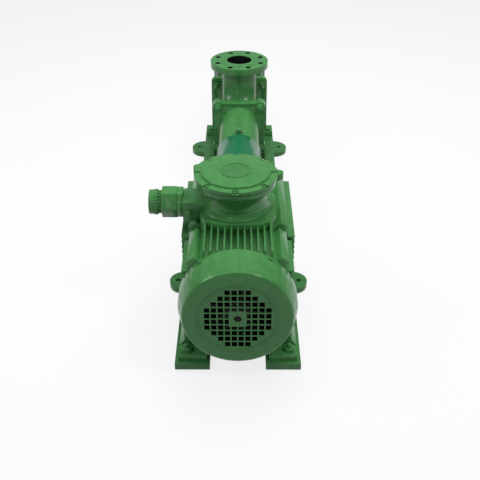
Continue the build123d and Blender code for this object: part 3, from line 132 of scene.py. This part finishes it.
def wearGroup():
    # 1 on sharp outer edges, broken up by noise; 0 elsewhere
    group, given, result = newGroup(
        "edgeWear",
        [("Vector", "NodeSocketVector", None), ("Width", "NodeSocketFloat", 0.5),
         ("Break Scale", "NodeSocketFloat", 90.0)],
        [("Mask", "NodeSocketFloat")])
    geometry = addNode(group, "ShaderNodeNewGeometry")
    edge = mapRange(group, geometry.outputs["Pointiness"], 0.52, 0.60, 0, 1)
    noise = addNode(group, "ShaderNodeTexNoise", Detail=5.0)
    group.links.new(given.outputs["Vector"], noise.inputs["Vector"])
    group.links.new(given.outputs["Break Scale"], noise.inputs["Scale"])
    broken = mapRange(group, noise.outputs["Fac"], 0.45, 0.62, 0, 1)
    both = addNode(group, "ShaderNodeMath", operation="MULTIPLY")
    group.links.new(edge, both.inputs[0])
    group.links.new(broken, both.inputs[1])
    scaled = addNode(group, "ShaderNodeMath", operation="MULTIPLY")
    group.links.new(both.outputs[0], scaled.inputs[0])
    group.links.new(given.outputs["Width"], scaled.inputs[1])
    group.links.new(scaled.outputs[0], result.inputs["Mask"])
    return group


def dustGroup():
    # dust that settles on faces that look up, in loose patches
    group, given, result = newGroup(
        "settledDust",
        [("Vector", "NodeSocketVector", None), ("Amount", "NodeSocketFloat", 0.2)],
        [("Mask", "NodeSocketFloat")])
    geometry = addNode(group, "ShaderNodeNewGeometry")
    split = addNode(group, "ShaderNodeSeparateXYZ")
    group.links.new(geometry.outputs["Normal"], split.inputs[0])
    up = mapRange(group, split.outputs["Z"], 0.5, 1.0, 0, 1)
    noise = addNode(group, "ShaderNodeTexNoise", Scale=22.0, Detail=6.0)
    group.links.new(given.outputs["Vector"], noise.inputs["Vector"])
    patch = mapRange(group, noise.outputs["Fac"], 0.35, 0.75, 0.2, 1)
    both = addNode(group, "ShaderNodeMath", operation="MULTIPLY")
    group.links.new(up, both.inputs[0])
    group.links.new(patch, both.inputs[1])
    scaled = addNode(group, "ShaderNodeMath", operation="MULTIPLY")
    group.links.new(both.outputs[0], scaled.inputs[0])
    group.links.new(given.outputs["Amount"], scaled.inputs[1])
    group.links.new(scaled.outputs[0], result.inputs["Mask"])
    return group


def creviceShadeGroup():
    # painted shade: 1 deep in corners and grooves, where the paint is darkened to stand for the shade that
    # falls there
    group, given, result = newGroup(
        "paintedCreviceShade",
        [("Amount", "NodeSocketFloat", 0.5)],
        [("Mask", "NodeSocketFloat")])
    geometry = addNode(group, "ShaderNodeNewGeometry")
    deep = mapRange(group, geometry.outputs["Pointiness"], 0.40, 0.495, 1, 0)
    scaled = addNode(group, "ShaderNodeMath", operation="MULTIPLY")
    group.links.new(deep, scaled.inputs[0])
    group.links.new(given.outputs["Amount"], scaled.inputs[1])
    group.links.new(scaled.outputs[0], result.inputs["Mask"])
    return group


castSurface, edgeWear, settledDust, paintedCreviceShade = castGroup(), wearGroup(), dustGroup(), creviceShadeGroup()
print("stage: shader groups built")

enamelFinishes = {
    "green_enamel": {"colour": (0.074, 0.285, 0.078), "shade": (0.058, 0.240, 0.062), "roughness": 0.26,
                     "specular": 0.28, "coat": 0.12, "wave": 0.07, "peel": 0.05, "dust": 0.03, "wear": 0.10},
    "frame_enamel": {"colour": (0.068, 0.262, 0.074), "shade": (0.050, 0.210, 0.056), "roughness": 0.30,
                     "specular": 0.24, "coat": 0.08, "wave": 0.10, "peel": 0.08, "dust": 0.05, "wear": 0.16},
    "guard_enamel": {"colour": (0.012, 0.180, 0.072), "shade": (0.010, 0.160, 0.062), "roughness": 0.22,
                     "specular": 0.14, "coat": 0.03, "wave": 0.03, "peel": 0.04, "dust": 0.02, "wear": 0.06},
    "stator_paint": {"colour": (0.074, 0.285, 0.078), "shade": (0.058, 0.240, 0.062), "roughness": 0.24,
                     "specular": 0.22, "coat": 0.06, "wave": 0.05, "peel": 0.05, "dust": 0.04, "wear": 0.08},
}
# painted shade: a near-black copy of the green enamel for the shield behind the fan
enamelFinishes["fan_chamber"] = {**enamelFinishes["green_enamel"], "colour": (0.006, 0.016, 0.007),
                                  "shade": (0.004, 0.010, 0.005), "roughness": 0.7, "coat": 0.0, "wear": 0.0}
coatRoughness = 0.06
wornSteel = (0.30, 0.31, 0.30)
dustColour = (0.30, 0.34, 0.27)
# painted shade: near-black green put into corners and grooves
paintedShadeColour = (0.008, 0.045, 0.012)


def enamel(name, finish):
    material, tree, shader = newMaterial(name)
    coords = addNode(tree, "ShaderNodeTexCoord").outputs["Object"]
    surface = placeGroup(tree, castSurface, Wave_Scale=55.0, Peel_Scale=700.0, Wave_Depth=finish["wave"],
                         Peel_Depth=finish["peel"])
    wear = placeGroup(tree, edgeWear, Width=finish["wear"], Break_Scale=90.0)
    dust = placeGroup(tree, settledDust, Amount=finish["dust"])
    # painted shade darkens the paint in corners and grooves
    creviceShade = placeGroup(tree, paintedCreviceShade, Amount=0.6)
    for node in (surface, wear, dust):
        tree.links.new(coords, node.inputs["Vector"])
    tone = mapRange(tree, surface.outputs["Mottle"], 0.3, 0.7, 0, 1)
    paint = mixColours(tree, tone, finish["shade"], finish["colour"])
    dusty = mixColours(tree, dust.outputs["Mask"], paint, dustColour)
    creviceShaded = mixColours(tree, creviceShade.outputs["Mask"], dusty, paintedShadeColour)
    worn = mixColours(tree, wear.outputs["Mask"], creviceShaded, wornSteel)
    tree.links.new(worn, shader.inputs["Base Color"])
    rough = mapRange(tree, dust.outputs["Mask"], 0, 0.3, finish["roughness"], finish["roughness"] + 0.25)
    tree.links.new(rough, shader.inputs["Roughness"])
    tree.links.new(surface.outputs["Normal"], shader.inputs["Normal"])
    shader.inputs["Specular IOR Level"].default_value = finish["specular"]
    shader.inputs["Coat Weight"].default_value = finish["coat"]
    shader.inputs["Coat Roughness"].default_value = coatRoughness
    return material


metalFinishes = {
    "bright_steel": {"colour": (0.50, 0.51, 0.52), "dark": (0.33, 0.34, 0.35), "roughness": 0.28,
                     "scale": 180.0},
    "bearing_steel": {"colour": (0.58, 0.59, 0.61), "dark": (0.46, 0.47, 0.49), "roughness": 0.16,
                      "scale": 90.0},
    "hard_chrome": {"colour": (0.68, 0.69, 0.71), "dark": (0.58, 0.59, 0.61), "roughness": 0.10,
                    "scale": 60.0},
    "core_steel": {"colour": (0.24, 0.24, 0.25), "dark": (0.14, 0.14, 0.15), "roughness": 0.5,
                   "scale": 260.0},
    "brass": {"colour": (0.62, 0.42, 0.15), "dark": (0.45, 0.29, 0.10), "roughness": 0.25, "scale": 120.0},
    # painted shade: bare bores are near black to stand for the shade inside them
    "bare_bore": {"colour": (0.030, 0.034, 0.030), "dark": (0.016, 0.018, 0.016), "roughness": 0.6,
                  "scale": 150.0},
    "grey_iron": {"colour": (0.21, 0.21, 0.22), "dark": (0.13, 0.13, 0.14), "roughness": 0.45,
                  "scale": 150.0},
}


def metal(name, finish):
    # turned or ground metal: fine rings across the shaft's direction
    material, tree, shader = newMaterial(name)
    coords = addNode(tree, "ShaderNodeTexCoord").outputs["Object"]
    stretch = addNode(tree, "ShaderNodeMapping")
    stretch.inputs["Scale"].default_value = (0.15, 6.0, 0.15)
    tree.links.new(coords, stretch.inputs["Vector"])
    lines = addNode(tree, "ShaderNodeTexNoise", Scale=finish["scale"], Detail=4.0)
    tree.links.new(stretch.outputs["Vector"], lines.inputs["Vector"])
    stain = addNode(tree, "ShaderNodeTexNoise", Scale=25.0, Detail=5.0)
    tree.links.new(coords, stain.inputs["Vector"])
    tone = mapRange(tree, stain.outputs["Fac"], 0.35, 0.7, 0, 1)
    tree.links.new(mixColours(tree, tone, finish["colour"], finish["dark"]), shader.inputs["Base Color"])
    smoothest, roughest = 0.7 * finish["roughness"], 1.4 * finish["roughness"]
    rough = mapRange(tree, lines.outputs["Fac"], 0.2, 0.8, smoothest, roughest)
    tree.links.new(rough, shader.inputs["Roughness"])
    bump = addNode(tree, "ShaderNodeBump", Strength=0.15, Distance=0.0002)
    tree.links.new(lines.outputs["Fac"], bump.inputs["Height"])
    tree.links.new(bump.outputs["Normal"], shader.inputs["Normal"])
    shader.inputs["Metallic"].default_value = 1.0
    return material


softFinishes = {
    "black_rubber": {"colour": (0.022, 0.022, 0.022), "dark": (0.012, 0.012, 0.012), "roughness": 0.7,
                     "scale": 300.0},
    "spider_rubber": {"colour": (0.35, 0.05, 0.03), "dark": (0.24, 0.03, 0.02), "roughness": 0.55,
                      "scale": 200.0},
    "black_plastic": {"colour": (0.008, 0.008, 0.008), "dark": (0.005, 0.005, 0.005), "roughness": 0.6,
                      "scale": 500.0},
    "packing": {"colour": (0.34, 0.32, 0.26), "dark": (0.16, 0.15, 0.12), "roughness": 0.9, "scale": 900.0},
}


def soft(name, finish):
    material, tree, shader = newMaterial(name)
    coords = addNode(tree, "ShaderNodeTexCoord").outputs["Object"]
    grain = addNode(tree, "ShaderNodeTexNoise", Scale=finish["scale"], Detail=3.0)
    tree.links.new(coords, grain.inputs["Vector"])
    tone = mapRange(tree, grain.outputs["Fac"], 0.3, 0.7, 0, 1)
    tree.links.new(mixColours(tree, tone, finish["dark"], finish["colour"]), shader.inputs["Base Color"])
    bump = addNode(tree, "ShaderNodeBump", Strength=0.3, Distance=0.0003)
    tree.links.new(grain.outputs["Fac"], bump.inputs["Height"])
    tree.links.new(bump.outputs["Normal"], shader.inputs["Normal"])
    shader.inputs["Roughness"].default_value = finish["roughness"]
    return material


def copperWindings():
    # varnished copper wire laid round the core
    material, tree, shader = newMaterial("copper_windings")
    coords = addNode(tree, "ShaderNodeTexCoord").outputs["Object"]
    strands = addNode(tree, "ShaderNodeTexWave", Scale=160.0, Distortion=3.0, Detail=2.0)
    strands.bands_direction = "Y"
    tree.links.new(coords, strands.inputs["Vector"])
    colour = mixColours(tree, strands.outputs["Fac"], (0.16, 0.06, 0.03), (0.45, 0.19, 0.08))
    tree.links.new(colour, shader.inputs["Base Color"])
    bump = addNode(tree, "ShaderNodeBump", Strength=0.6, Distance=0.001)
    tree.links.new(strands.outputs["Fac"], bump.inputs["Height"])
    tree.links.new(bump.outputs["Normal"], shader.inputs["Normal"])
    shader.inputs["Metallic"].default_value = 0.6
    shader.inputs["Roughness"].default_value = 0.35
    return material


materials = {name: enamel(name, finish) for name, finish in enamelFinishes.items()}
materials.update({name: metal(name, finish) for name, finish in metalFinishes.items()})
materials.update({name: soft(name, finish) for name, finish in softFinishes.items()})
materials["copper_windings"] = copperWindings()

for name, node in frame["nodes"].items():
    node.data.materials.clear()
    node.data.materials.append(materials[slotOf[name]])
print("stage: materials placed")


# edges are softened on a copy of each casting, forging and sheet part
roundings = {
    "fan_cowl": {"width": 0.0022, "smooth": 13}, "motor_frame": {"width": 0.0011},
    "terminal_box": {"width": 0.0026}, "terminal_box_lid": {"width": 0.0014},
    "bearing_housing": {"width": 0.0022}, "suction_casing": {"width": 0.0024},
    "discharge_casing": {"width": 0.0024}, "base_frame": {"width": 0.0020},
    "coupling_guard": {"width": 0.0006},
    "gland_locknut": {"width": 0.0026}, "gland_body": {"width": 0.0028}, "gland_nut": {"width": 0.0022},
    "housing_plug": {"width": 0.0014}, "motor_foot_bolts": {"width": 0.0014},
    "pump_foot_bolts": {"width": 0.0012},
    "casing_bolts": {"width": 0.0014}, "tie_rod_nuts": {"width": 0.0012}, "lid_screws": {"width": 0.0006},
    "cowl_screws": {"width": 0.0006}, "earth_screw": {"width": 0.0026}, "front_end_shield": {"width": 0.0018},
    "shield_bolts": {"width": 0.0010}, "guard_screws": {"width": 0.0007}, "drain_plug": {"width": 0.0010},
    "stator_tube": {"width": 0.0008}, "bearing_cover": {"width": 0.0010}, "tie_rods": {"width": 0.0008},
    "rear_end_shield": {"width": 0.0010},
}
roundingSegments = 2
smoothAngle = 40
roundedAngle = 35
flatAngle = 0.6
seamGap = 0.00002
ringGap = 0.00001


def deselectAll():
    bpy.ops.object.select_all(action="DESELECT")


def makeActive(piece):
    deselectAll()
    piece.select_set(True)
    bpy.context.view_layer.objects.active = piece


def pickFaces(piece, wanted):
    # leaves the piece in edit mode with just the wanted faces selected
    makeActive(piece)
    bpy.ops.object.mode_set(mode="EDIT")
    bpy.ops.mesh.select_mode(type="FACE")
    bpy.ops.mesh.select_all(action="DESELECT")
    bpy.ops.object.mode_set(mode="OBJECT")
    for index, face in enumerate(piece.data.polygons):
        face.select = wanted(index, face)
    bpy.ops.object.mode_set(mode="EDIT")


def finishPiece(piece, name, body, slot, smooth=30):
    # named, smoothed and given its body and the material of its slot
    makeActive(piece)
    piece.name = name
    bpy.ops.object.transform_apply(location=True, rotation=True, scale=True)
    piece.data.materials.clear()
    piece.data.materials.append(materials[slot])
    bpy.ops.object.shade_smooth_by_angle(angle=radians(smooth))
    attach(piece, body)


def roundedCopy(node, width, smooth=smoothAngle):
    piece = bpy.data.objects.new(node + "_rounded", frame["nodes"][node].data.copy())
    bpy.context.collection.objects.link(piece)
    makeActive(piece)
    bpy.ops.object.mode_set(mode="EDIT")
    bpy.ops.mesh.select_all(action="SELECT")
    bpy.ops.mesh.remove_doubles(threshold=seamGap)
    bpy.ops.mesh.dissolve_limited(angle_limit=radians(flatAngle))
    bpy.ops.object.mode_set(mode="OBJECT")
    bevel = piece.modifiers.new("rounding", "BEVEL")
    bevel.width = width
    bevel.segments = roundingSegments
    bevel.limit_method = "ANGLE"
    bevel.angle_limit = radians(roundedAngle)
    bpy.ops.object.modifier_apply(modifier="rounding")
    finishPiece(piece, node + "_rounded", bodyOf[node], slotOf[node], smooth)
    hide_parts(node)


for node, rounding in roundings.items():
    roundedCopy(node, **rounding)
# painted shade: the shield behind the fan gets near-black paint in place of its green enamel
bpy.data.objects["rear_end_shield_rounded"].data.materials[0] = materials["fan_chamber"]
print("stage: rounded copies made")


def latheRings(name, profile, sides=32, closed=False):
    # a circle is drawn up ring by ring through (radius, height) points about Z
    deselectAll()
    radius, height = profile[0]
    bpy.ops.mesh.primitive_circle_add(vertices=sides, radius=radius, location=(0, 0, 0))
    piece = bpy.context.object
    piece.name = name
    bpy.ops.object.mode_set(mode="EDIT")
    bpy.ops.mesh.select_mode(type="VERT")
    bpy.ops.mesh.select_all(action="SELECT")
    bpy.ops.transform.translate(value=(0, 0, height))
    for newRadius, newHeight in profile[1:]:
        bpy.ops.mesh.extrude_edges_move(TRANSFORM_OT_translate={"value": (0, 0, newHeight - height)})
        bpy.ops.transform.resize(value=(newRadius / radius, newRadius / radius, 1),
                                 center_override=(0, 0, newHeight))
        radius, height = newRadius, newHeight
    if not closed:
        bpy.ops.mesh.select_all(action="DESELECT")
        bpy.ops.mesh.select_non_manifold()
        bpy.ops.mesh.fill_holes(sides=0)
    bpy.ops.mesh.select_all(action="SELECT")
    bpy.ops.mesh.remove_doubles(threshold=ringGap)
    bpy.ops.mesh.normals_make_consistent(inside=False)
    bpy.ops.object.mode_set(mode="OBJECT")
    return piece


def spreadCopies(model, places):
    # a copy with its own mesh at each (place, turn), joined into one piece
    copies = []
    for place, turn in places:
        copy = bpy.data.objects.new(model.name, model.data.copy())
        bpy.context.collection.objects.link(copy)
        copy.location, copy.rotation_euler = place, turn
        copies.append(copy)
    bpy.data.objects.remove(model)
    deselectAll()
    for copy in copies:
        copy.select_set(True)
    bpy.context.view_layer.objects.active = copies[0]
    bpy.ops.object.transform_apply(location=True, rotation=True, scale=True)
    bpy.ops.object.join()
    return bpy.context.object


upright, towardsFan, towardsOutlet, towardsLeft = (0, 0, 0), (pi / 2, 0, 0), (-pi / 2, 0, 0), (0, -pi / 2, 0)
shaftZ = 0.178

# where nuts bear and stud ends stand out
fastenerPlaces = {
    "motorFoot": [((x, y, 0.034), upright) for x in (-0.125, 0.125) for y in (-1.118, -0.864)],
    "casingNear": [((x, -0.134, shaftZ + z), towardsFan)
                   for x in (-0.072, 0.072) for z in (-0.0745, 0.0745)],
    "casingFar": [((x, -0.099, shaftZ + z), towardsOutlet)
                  for x in (-0.072, 0.072) for z in (-0.0745, 0.0745)],
    "tieRodNear": [((x, 0.073, shaftZ + z), towardsFan)
                   for x in (-0.083, 0.083) for z in (-0.075, 0.075)],
    "tieRodFar": [((x, 0.329, shaftZ + z), towardsOutlet)
                  for x in (-0.083, 0.083) for z in (-0.075, 0.075)],
    "guard": [((x, y, 0.062), upright) for x in (-0.1085, 0.1085) for y in (-0.595, -0.372)],
}

washerSizes = {
    "motorFoot": {"hole": 0.0065, "outer": 0.0149, "thick": 0.0024, "slot": "green_enamel"},
    "casingNear": {"hole": 0.0072, "outer": 0.0146, "thick": 0.0022, "slot": "green_enamel"},
    "casingFar": {"hole": 0.0072, "outer": 0.0146, "thick": 0.0022, "slot": "green_enamel"},
    "tieRodNear": {"hole": 0.0066, "outer": 0.0132, "thick": 0.0020, "slot": "green_enamel"},
    "tieRodFar": {"hole": 0.0066, "outer": 0.0132, "thick": 0.0020, "slot": "green_enamel"},
    "guard": {"hole": 0.0037, "outer": 0.0088, "thick": 0.0014, "slot": "guard_enamel"},
}
washerEdge = 0.0005


def washers(group, hole, outer, thick, slot):
    profile = [(hole, 0), (outer, 0), (outer, thick - washerEdge), (outer - washerEdge, thick), (hole, thick),
               (hole, 0)]
    model = latheRings("washer", profile, sides=28, closed=True)
    finishPiece(spreadCopies(model, fastenerPlaces[group]), group + "Washers", "pump_set", slot)


for group, sizes in washerSizes.items():
    washers(group, **sizes)

# threaded stud ends: how far past the bearing face they start and stop
threadSizes = {
    "motorFoot": {"start": 0.0436, "stop": 0.0520, "radius": 0.0060, "fromFace": 0.034},
    "casingNear": {"start": 0.0122, "stop": 0.0213, "radius": 0.0070, "fromFace": 0},
    "casingFar": {"start": 0.0122, "stop": 0.0213, "radius": 0.0070, "fromFace": 0},
    "tieRodNear": {"start": 0.0122, "stop": 0.0203, "radius": 0.0065, "fromFace": 0},
}
threadPitch = 0.0018
threadDepth = 0.0006
threadCrest = 0.0002


def studEnds(group, start, stop, radius, fromFace):
    height, profile = start - fromFace, []
    while height < stop - fromFace - threadPitch:
        profile += [(radius - threadDepth, height), (radius + threadCrest, height + threadPitch / 2)]
        height += threadPitch
    profile += [(radius - threadDepth, height), (radius - 2 * threadDepth, stop - fromFace)]
    model = latheRings("studEnd", profile, sides=24)
    ends = spreadCopies(model, fastenerPlaces[group])
    finishPiece(ends, group + "StudEnds", "pump_set", "green_enamel", smooth=20)


for group, sizes in threadSizes.items():
    studEnds(group, **sizes)
print("stage: washers and stud ends made")

# the sealing face turned on the suction flange, with its fine grooves
sealFace = {"bore": 0.0438, "rim": 0.0690, "edge": 0.0008, "height": 0.0014, "groove": 0.0007,
            "grooves": (0.050, 0.0555, 0.061), "top": 0.374}


def flangeFace():
    top = sealFace["height"]
    profile = [(sealFace["bore"], 0), (sealFace["bore"], top)]
    for radius in sealFace["grooves"]:
        profile += [(radius, top), (radius + sealFace["groove"], top - sealFace["groove"]),
                    (radius + 2 * sealFace["groove"], top)]
    profile += [(sealFace["rim"] - sealFace["edge"], top), (sealFace["rim"], 0), (sealFace["bore"], 0)]
    model = latheRings("sealFace", profile, sides=96, closed=True)
    piece = spreadCopies(model, [((0, 0, sealFace["top"]), upright)])
    finishPiece(piece, "suctionSealFace", "pump_set", "green_enamel", smooth=20)


flangeFace()

# grip ribs round the gland's neck and its nut
gripRings = {
    "neckGrip": {"near": 0.1895, "length": 0.0080, "radius": 0.0272, "ribs": 22, "rise": 0.0020},
    "nutGrip": {"near": 0.1990, "length": 0.0090, "radius": 0.0311, "ribs": 26, "rise": 0.0010},
}
ribInset = 0.0004
glandCentre = {"y": -0.899, "z": 0.325}


def gripRing(name, near, length, radius, ribs, rise):
    deselectAll()
    bpy.ops.mesh.primitive_cylinder_add(vertices=2 * ribs, radius=radius, depth=length,
                                        location=(0, 0, length / 2))
    piece = bpy.context.object
    bpy.ops.object.transform_apply(location=True)
    pickFaces(piece, lambda index, face: abs(face.normal.z) < 0.5 and index % 2 == 0)
    bpy.ops.mesh.inset(thickness=ribInset, depth=rise, use_individual=True)
    bpy.ops.object.mode_set(mode="OBJECT")
    piece = spreadCopies(piece, [((-near, glandCentre["y"], glandCentre["z"]), towardsLeft)])
    finishPiece(piece, name, "pump_set", "green_enamel", smooth=20)


for name, ring in gripRings.items():
    gripRing(name, **ring)

# the cap that holds the fan on the shaft, in front of the hub
fanCap = {
    "profile": [(0.0290, -0.0002), (0.0290, 0.0022), (0.0270, 0.0040), (0.0190, 0.0064), (0.0090, 0.0078),
                (0.0010, 0.0082)],
    "y": -1.152,
}


def hubCap():
    model = latheRings("fanCap", fanCap["profile"], sides=40)
    piece = spreadCopies(model, [((0, fanCap["y"], shaftZ), towardsFan)])
    finishPiece(piece, "fanCap", "drive_line", slotOf["cooling_fan"])


hubCap()
print("stage: fan cap made")

# machined bores are left unpainted, and their bare metal is made near black as painted shade inside them: how
# far from its own axis each one reaches
boreRooms = {"port": 0.0445, "chamber": 0.0575, "holesInner": 0.060, "holesOuter": 0.097, "flangeFoot": 0.350}


def bareBores(piece):
    def insideBore(index, face):
        x, y, z = face.center
        out, up = hypot(x, y), hypot(x, z - shaftZ)
        inPort = x * face.normal.x + y * face.normal.y < -0.7 * out and out < boreRooms["port"]
        inChamber = x * face.normal.x + (z - shaftZ) * face.normal.z < -0.7 * up and up < boreRooms["chamber"]
        inHole = boreRooms["holesInner"] < out < boreRooms["holesOuter"] and abs(face.normal.z) < 0.5
        return inPort or inChamber or (inHole and z > boreRooms["flangeFoot"])
    # painted shade: the near-black bore metal goes on the faces that look into each bore
    piece.data.materials.append(materials["bare_bore"])
    pickFaces(piece, insideBore)
    piece.active_material_index = 1
    bpy.ops.object.material_slot_assign()
    bpy.ops.object.mode_set(mode="OBJECT")


bareBores(bpy.data.objects["suction_casing_rounded"])
print("stage: flange face and gland grips made")

# weld beads along the base: (x, y, z) from and to, on both sides of the frame
beadSizes = {"radius": 0.0034, "ripple": 0.0030, "bulge": 1.16, "sides": 10}
beadRuns = [
    ((0.1262, -0.640, 0.0185), (0.1262, -0.554, 0.0185)),
    ((0.0908, -0.640, 0.0185), (0.0908, -0.554, 0.0185)),
    ((0.0925, -0.6428, 0.0185), (0.1245, -0.6428, 0.0185)),
    ((0.1262, -0.010, 0.0185), (0.1262, 0.090, 0.0185)),
    ((0.0908, -0.162, 0.0185), (0.0908, -0.106, 0.0185)),
    ((0.0908, -0.028, 0.0185), (0.0908, 0.028, 0.0185)),
]


def weldBead(start, end):
    start, end = Vector(start), Vector(end)
    along = end - start
    turn = along.to_track_quat("Z", "Y").to_euler()
    count = int(along.length / beadSizes["ripple"])
    deselectAll()
    bpy.ops.mesh.primitive_cylinder_add(vertices=beadSizes["sides"], radius=beadSizes["radius"],
                                        depth=beadSizes["ripple"], end_fill_type="NOTHING",
                                        location=(0, 0, 0))
    piece = bpy.context.object
    bpy.ops.object.mode_set(mode="EDIT")
    bpy.ops.mesh.select_mode(type="VERT")
    bpy.ops.mesh.select_all(action="SELECT")
    bpy.ops.mesh.bisect(plane_co=(0, 0, 0), plane_no=(0, 0, 1))
    bpy.ops.transform.resize(value=(beadSizes["bulge"], beadSizes["bulge"], 1), center_override=(0, 0, 0))
    bpy.ops.object.mode_set(mode="OBJECT")
    run = piece.modifiers.new("run", "ARRAY")
    run.count = count
    run.use_relative_offset = False
    run.use_constant_offset = True
    run.constant_offset_displace = (0, 0, beadSizes["ripple"])
    run.use_merge_vertices = True
    bpy.ops.object.modifier_apply(modifier="run")
    bpy.ops.object.mode_set(mode="EDIT")
    bpy.ops.mesh.select_all(action="DESELECT")
    bpy.ops.mesh.select_non_manifold()
    bpy.ops.mesh.fill_holes(sides=0)
    bpy.ops.mesh.select_all(action="SELECT")
    bpy.ops.mesh.normals_make_consistent(inside=False)
    bpy.ops.object.mode_set(mode="OBJECT")
    return spreadCopies(piece, [(start, turn)])


def baseWelds():
    beads = []
    for start, end in beadRuns:
        for side in (1, -1):
            beads.append(weldBead((side * start[0], *start[1:]), (side * end[0], *end[1:])))
    deselectAll()
    for bead in beads:
        bead.select_set(True)
    bpy.context.view_layer.objects.active = beads[0]
    bpy.ops.object.join()
    finishPiece(bpy.context.object, "baseWelds", "pump_set", "frame_enamel", smooth=50)


baseWelds()
print("stage: base welds made")


floorWidth = 30
floorTones = {"seen": (0.90, 0.90, 0.90), "bounce": (0.30, 0.31, 0.31), "glow": (1.0, 1.0, 1.0),
              "evenness": 0.80}


def plainStage():
    # pale to the eye and in reflections, but it throws little light back up
    deselectAll()
    bpy.ops.mesh.primitive_plane_add(size=floorWidth, location=(0, 0, 0))
    floor = bpy.context.object
    floor.name = "studioFloor"
    material, tree, shader = newMaterial("studioPaper")
    rays = addNode(tree, "ShaderNodeLightPath")
    seen = addNode(tree, "ShaderNodeMath", operation="ADD", use_clamp=True)
    shown = addNode(tree, "ShaderNodeMath", operation="ADD", use_clamp=True)
    tree.links.new(rays.outputs["Is Camera Ray"], seen.inputs[0])
    tree.links.new(rays.outputs["Is Glossy Ray"], seen.inputs[1])
    tree.links.new(seen.outputs[0], shown.inputs[0])
    tree.links.new(rays.outputs["Is Transmission Ray"], shown.inputs[1])
    tree.links.new(mixColours(tree, shown.outputs[0], floorTones["bounce"], floorTones["seen"]),
                   shader.inputs["Base Color"])
    shader.inputs["Roughness"].default_value = 0.9
    shader.inputs["Specular IOR Level"].default_value = 0.0
    glow = addNode(tree, "ShaderNodeEmission", Color=(*floorTones["glow"], 1), Strength=1.0)
    even = addNode(tree, "ShaderNodeMath", operation="MULTIPLY")
    tree.links.new(shown.outputs[0], even.inputs[0])
    even.inputs[1].default_value = floorTones["evenness"]
    blend = addNode(tree, "ShaderNodeMixShader")
    tree.links.new(even.outputs[0], blend.inputs[0])
    tree.links.new(shader.outputs[0], blend.inputs[1])
    tree.links.new(glow.outputs[0], blend.inputs[2])
    tree.links.new(blend.outputs[0], tree.nodes["Material Output"].inputs["Surface"])
    floor.data.materials.append(material)


plainStage()

worldLight = {"colour": (0.92, 0.95, 1.0), "strength": 0.28}
scene.world = bpy.data.worlds.new("studioWorld")
scene.world.use_nodes = True
background = scene.world.node_tree.nodes["Background"]
background.inputs["Color"].default_value = (*worldLight["colour"], 1)
background.inputs["Strength"].default_value = worldLight["strength"]

lamps = {
    "overLamp": {"place": (0.2, 0.15, 2.7), "aim": (0, -0.45, 0.2), "size": 2.0, "power": 52, "glint": False},
    "glintLamp": {"place": (1.3, -1.6, 2.3), "aim": (0, -1.0, 0.25), "size": 0.42, "power": 15,
                  "glint": True},
    "frontLamp": {"place": (-0.7, -3.2, 1.5), "aim": (0, -1.1, 0.2), "size": 0.5, "power": 2.5,
                  "glint": True},
    "leftLamp": {"place": (-1.6, -0.9, 1.6), "aim": (0, -0.8, 0.2), "size": 0.55, "power": 8, "glint": True},
}
for name, lamp in lamps.items():
    light = bpy.data.lights.new(name, "AREA")
    light.size = lamp["size"]
    light.energy = lamp["power"]
    body = bpy.data.objects.new(name, light)
    body.location = lamp["place"]
    body.rotation_euler = (Vector(lamp["aim"]) - Vector(lamp["place"])).to_track_quat("-Z", "Y").to_euler()
    body.visible_glossy = lamp["glint"]
    bpy.context.collection.objects.link(body)

cameraSetup = {"place": (0.008, -2.494, 1.257), "pitch": 58.8, "turn": 0.12, "lens": 55.5, "sensor": 36,
               "shiftY": -0.0555}
camera = bpy.data.objects.new("mainCamera", bpy.data.cameras.new("mainCamera"))
camera.location = cameraSetup["place"]
camera.rotation_euler = (radians(cameraSetup["pitch"]), 0, radians(cameraSetup["turn"]))
camera.data.lens = cameraSetup["lens"]
camera.data.sensor_width = cameraSetup["sensor"]
camera.data.shift_y = cameraSetup["shiftY"]
bpy.context.collection.objects.link(camera)
scene.camera = camera
print("stage: lights and camera set")
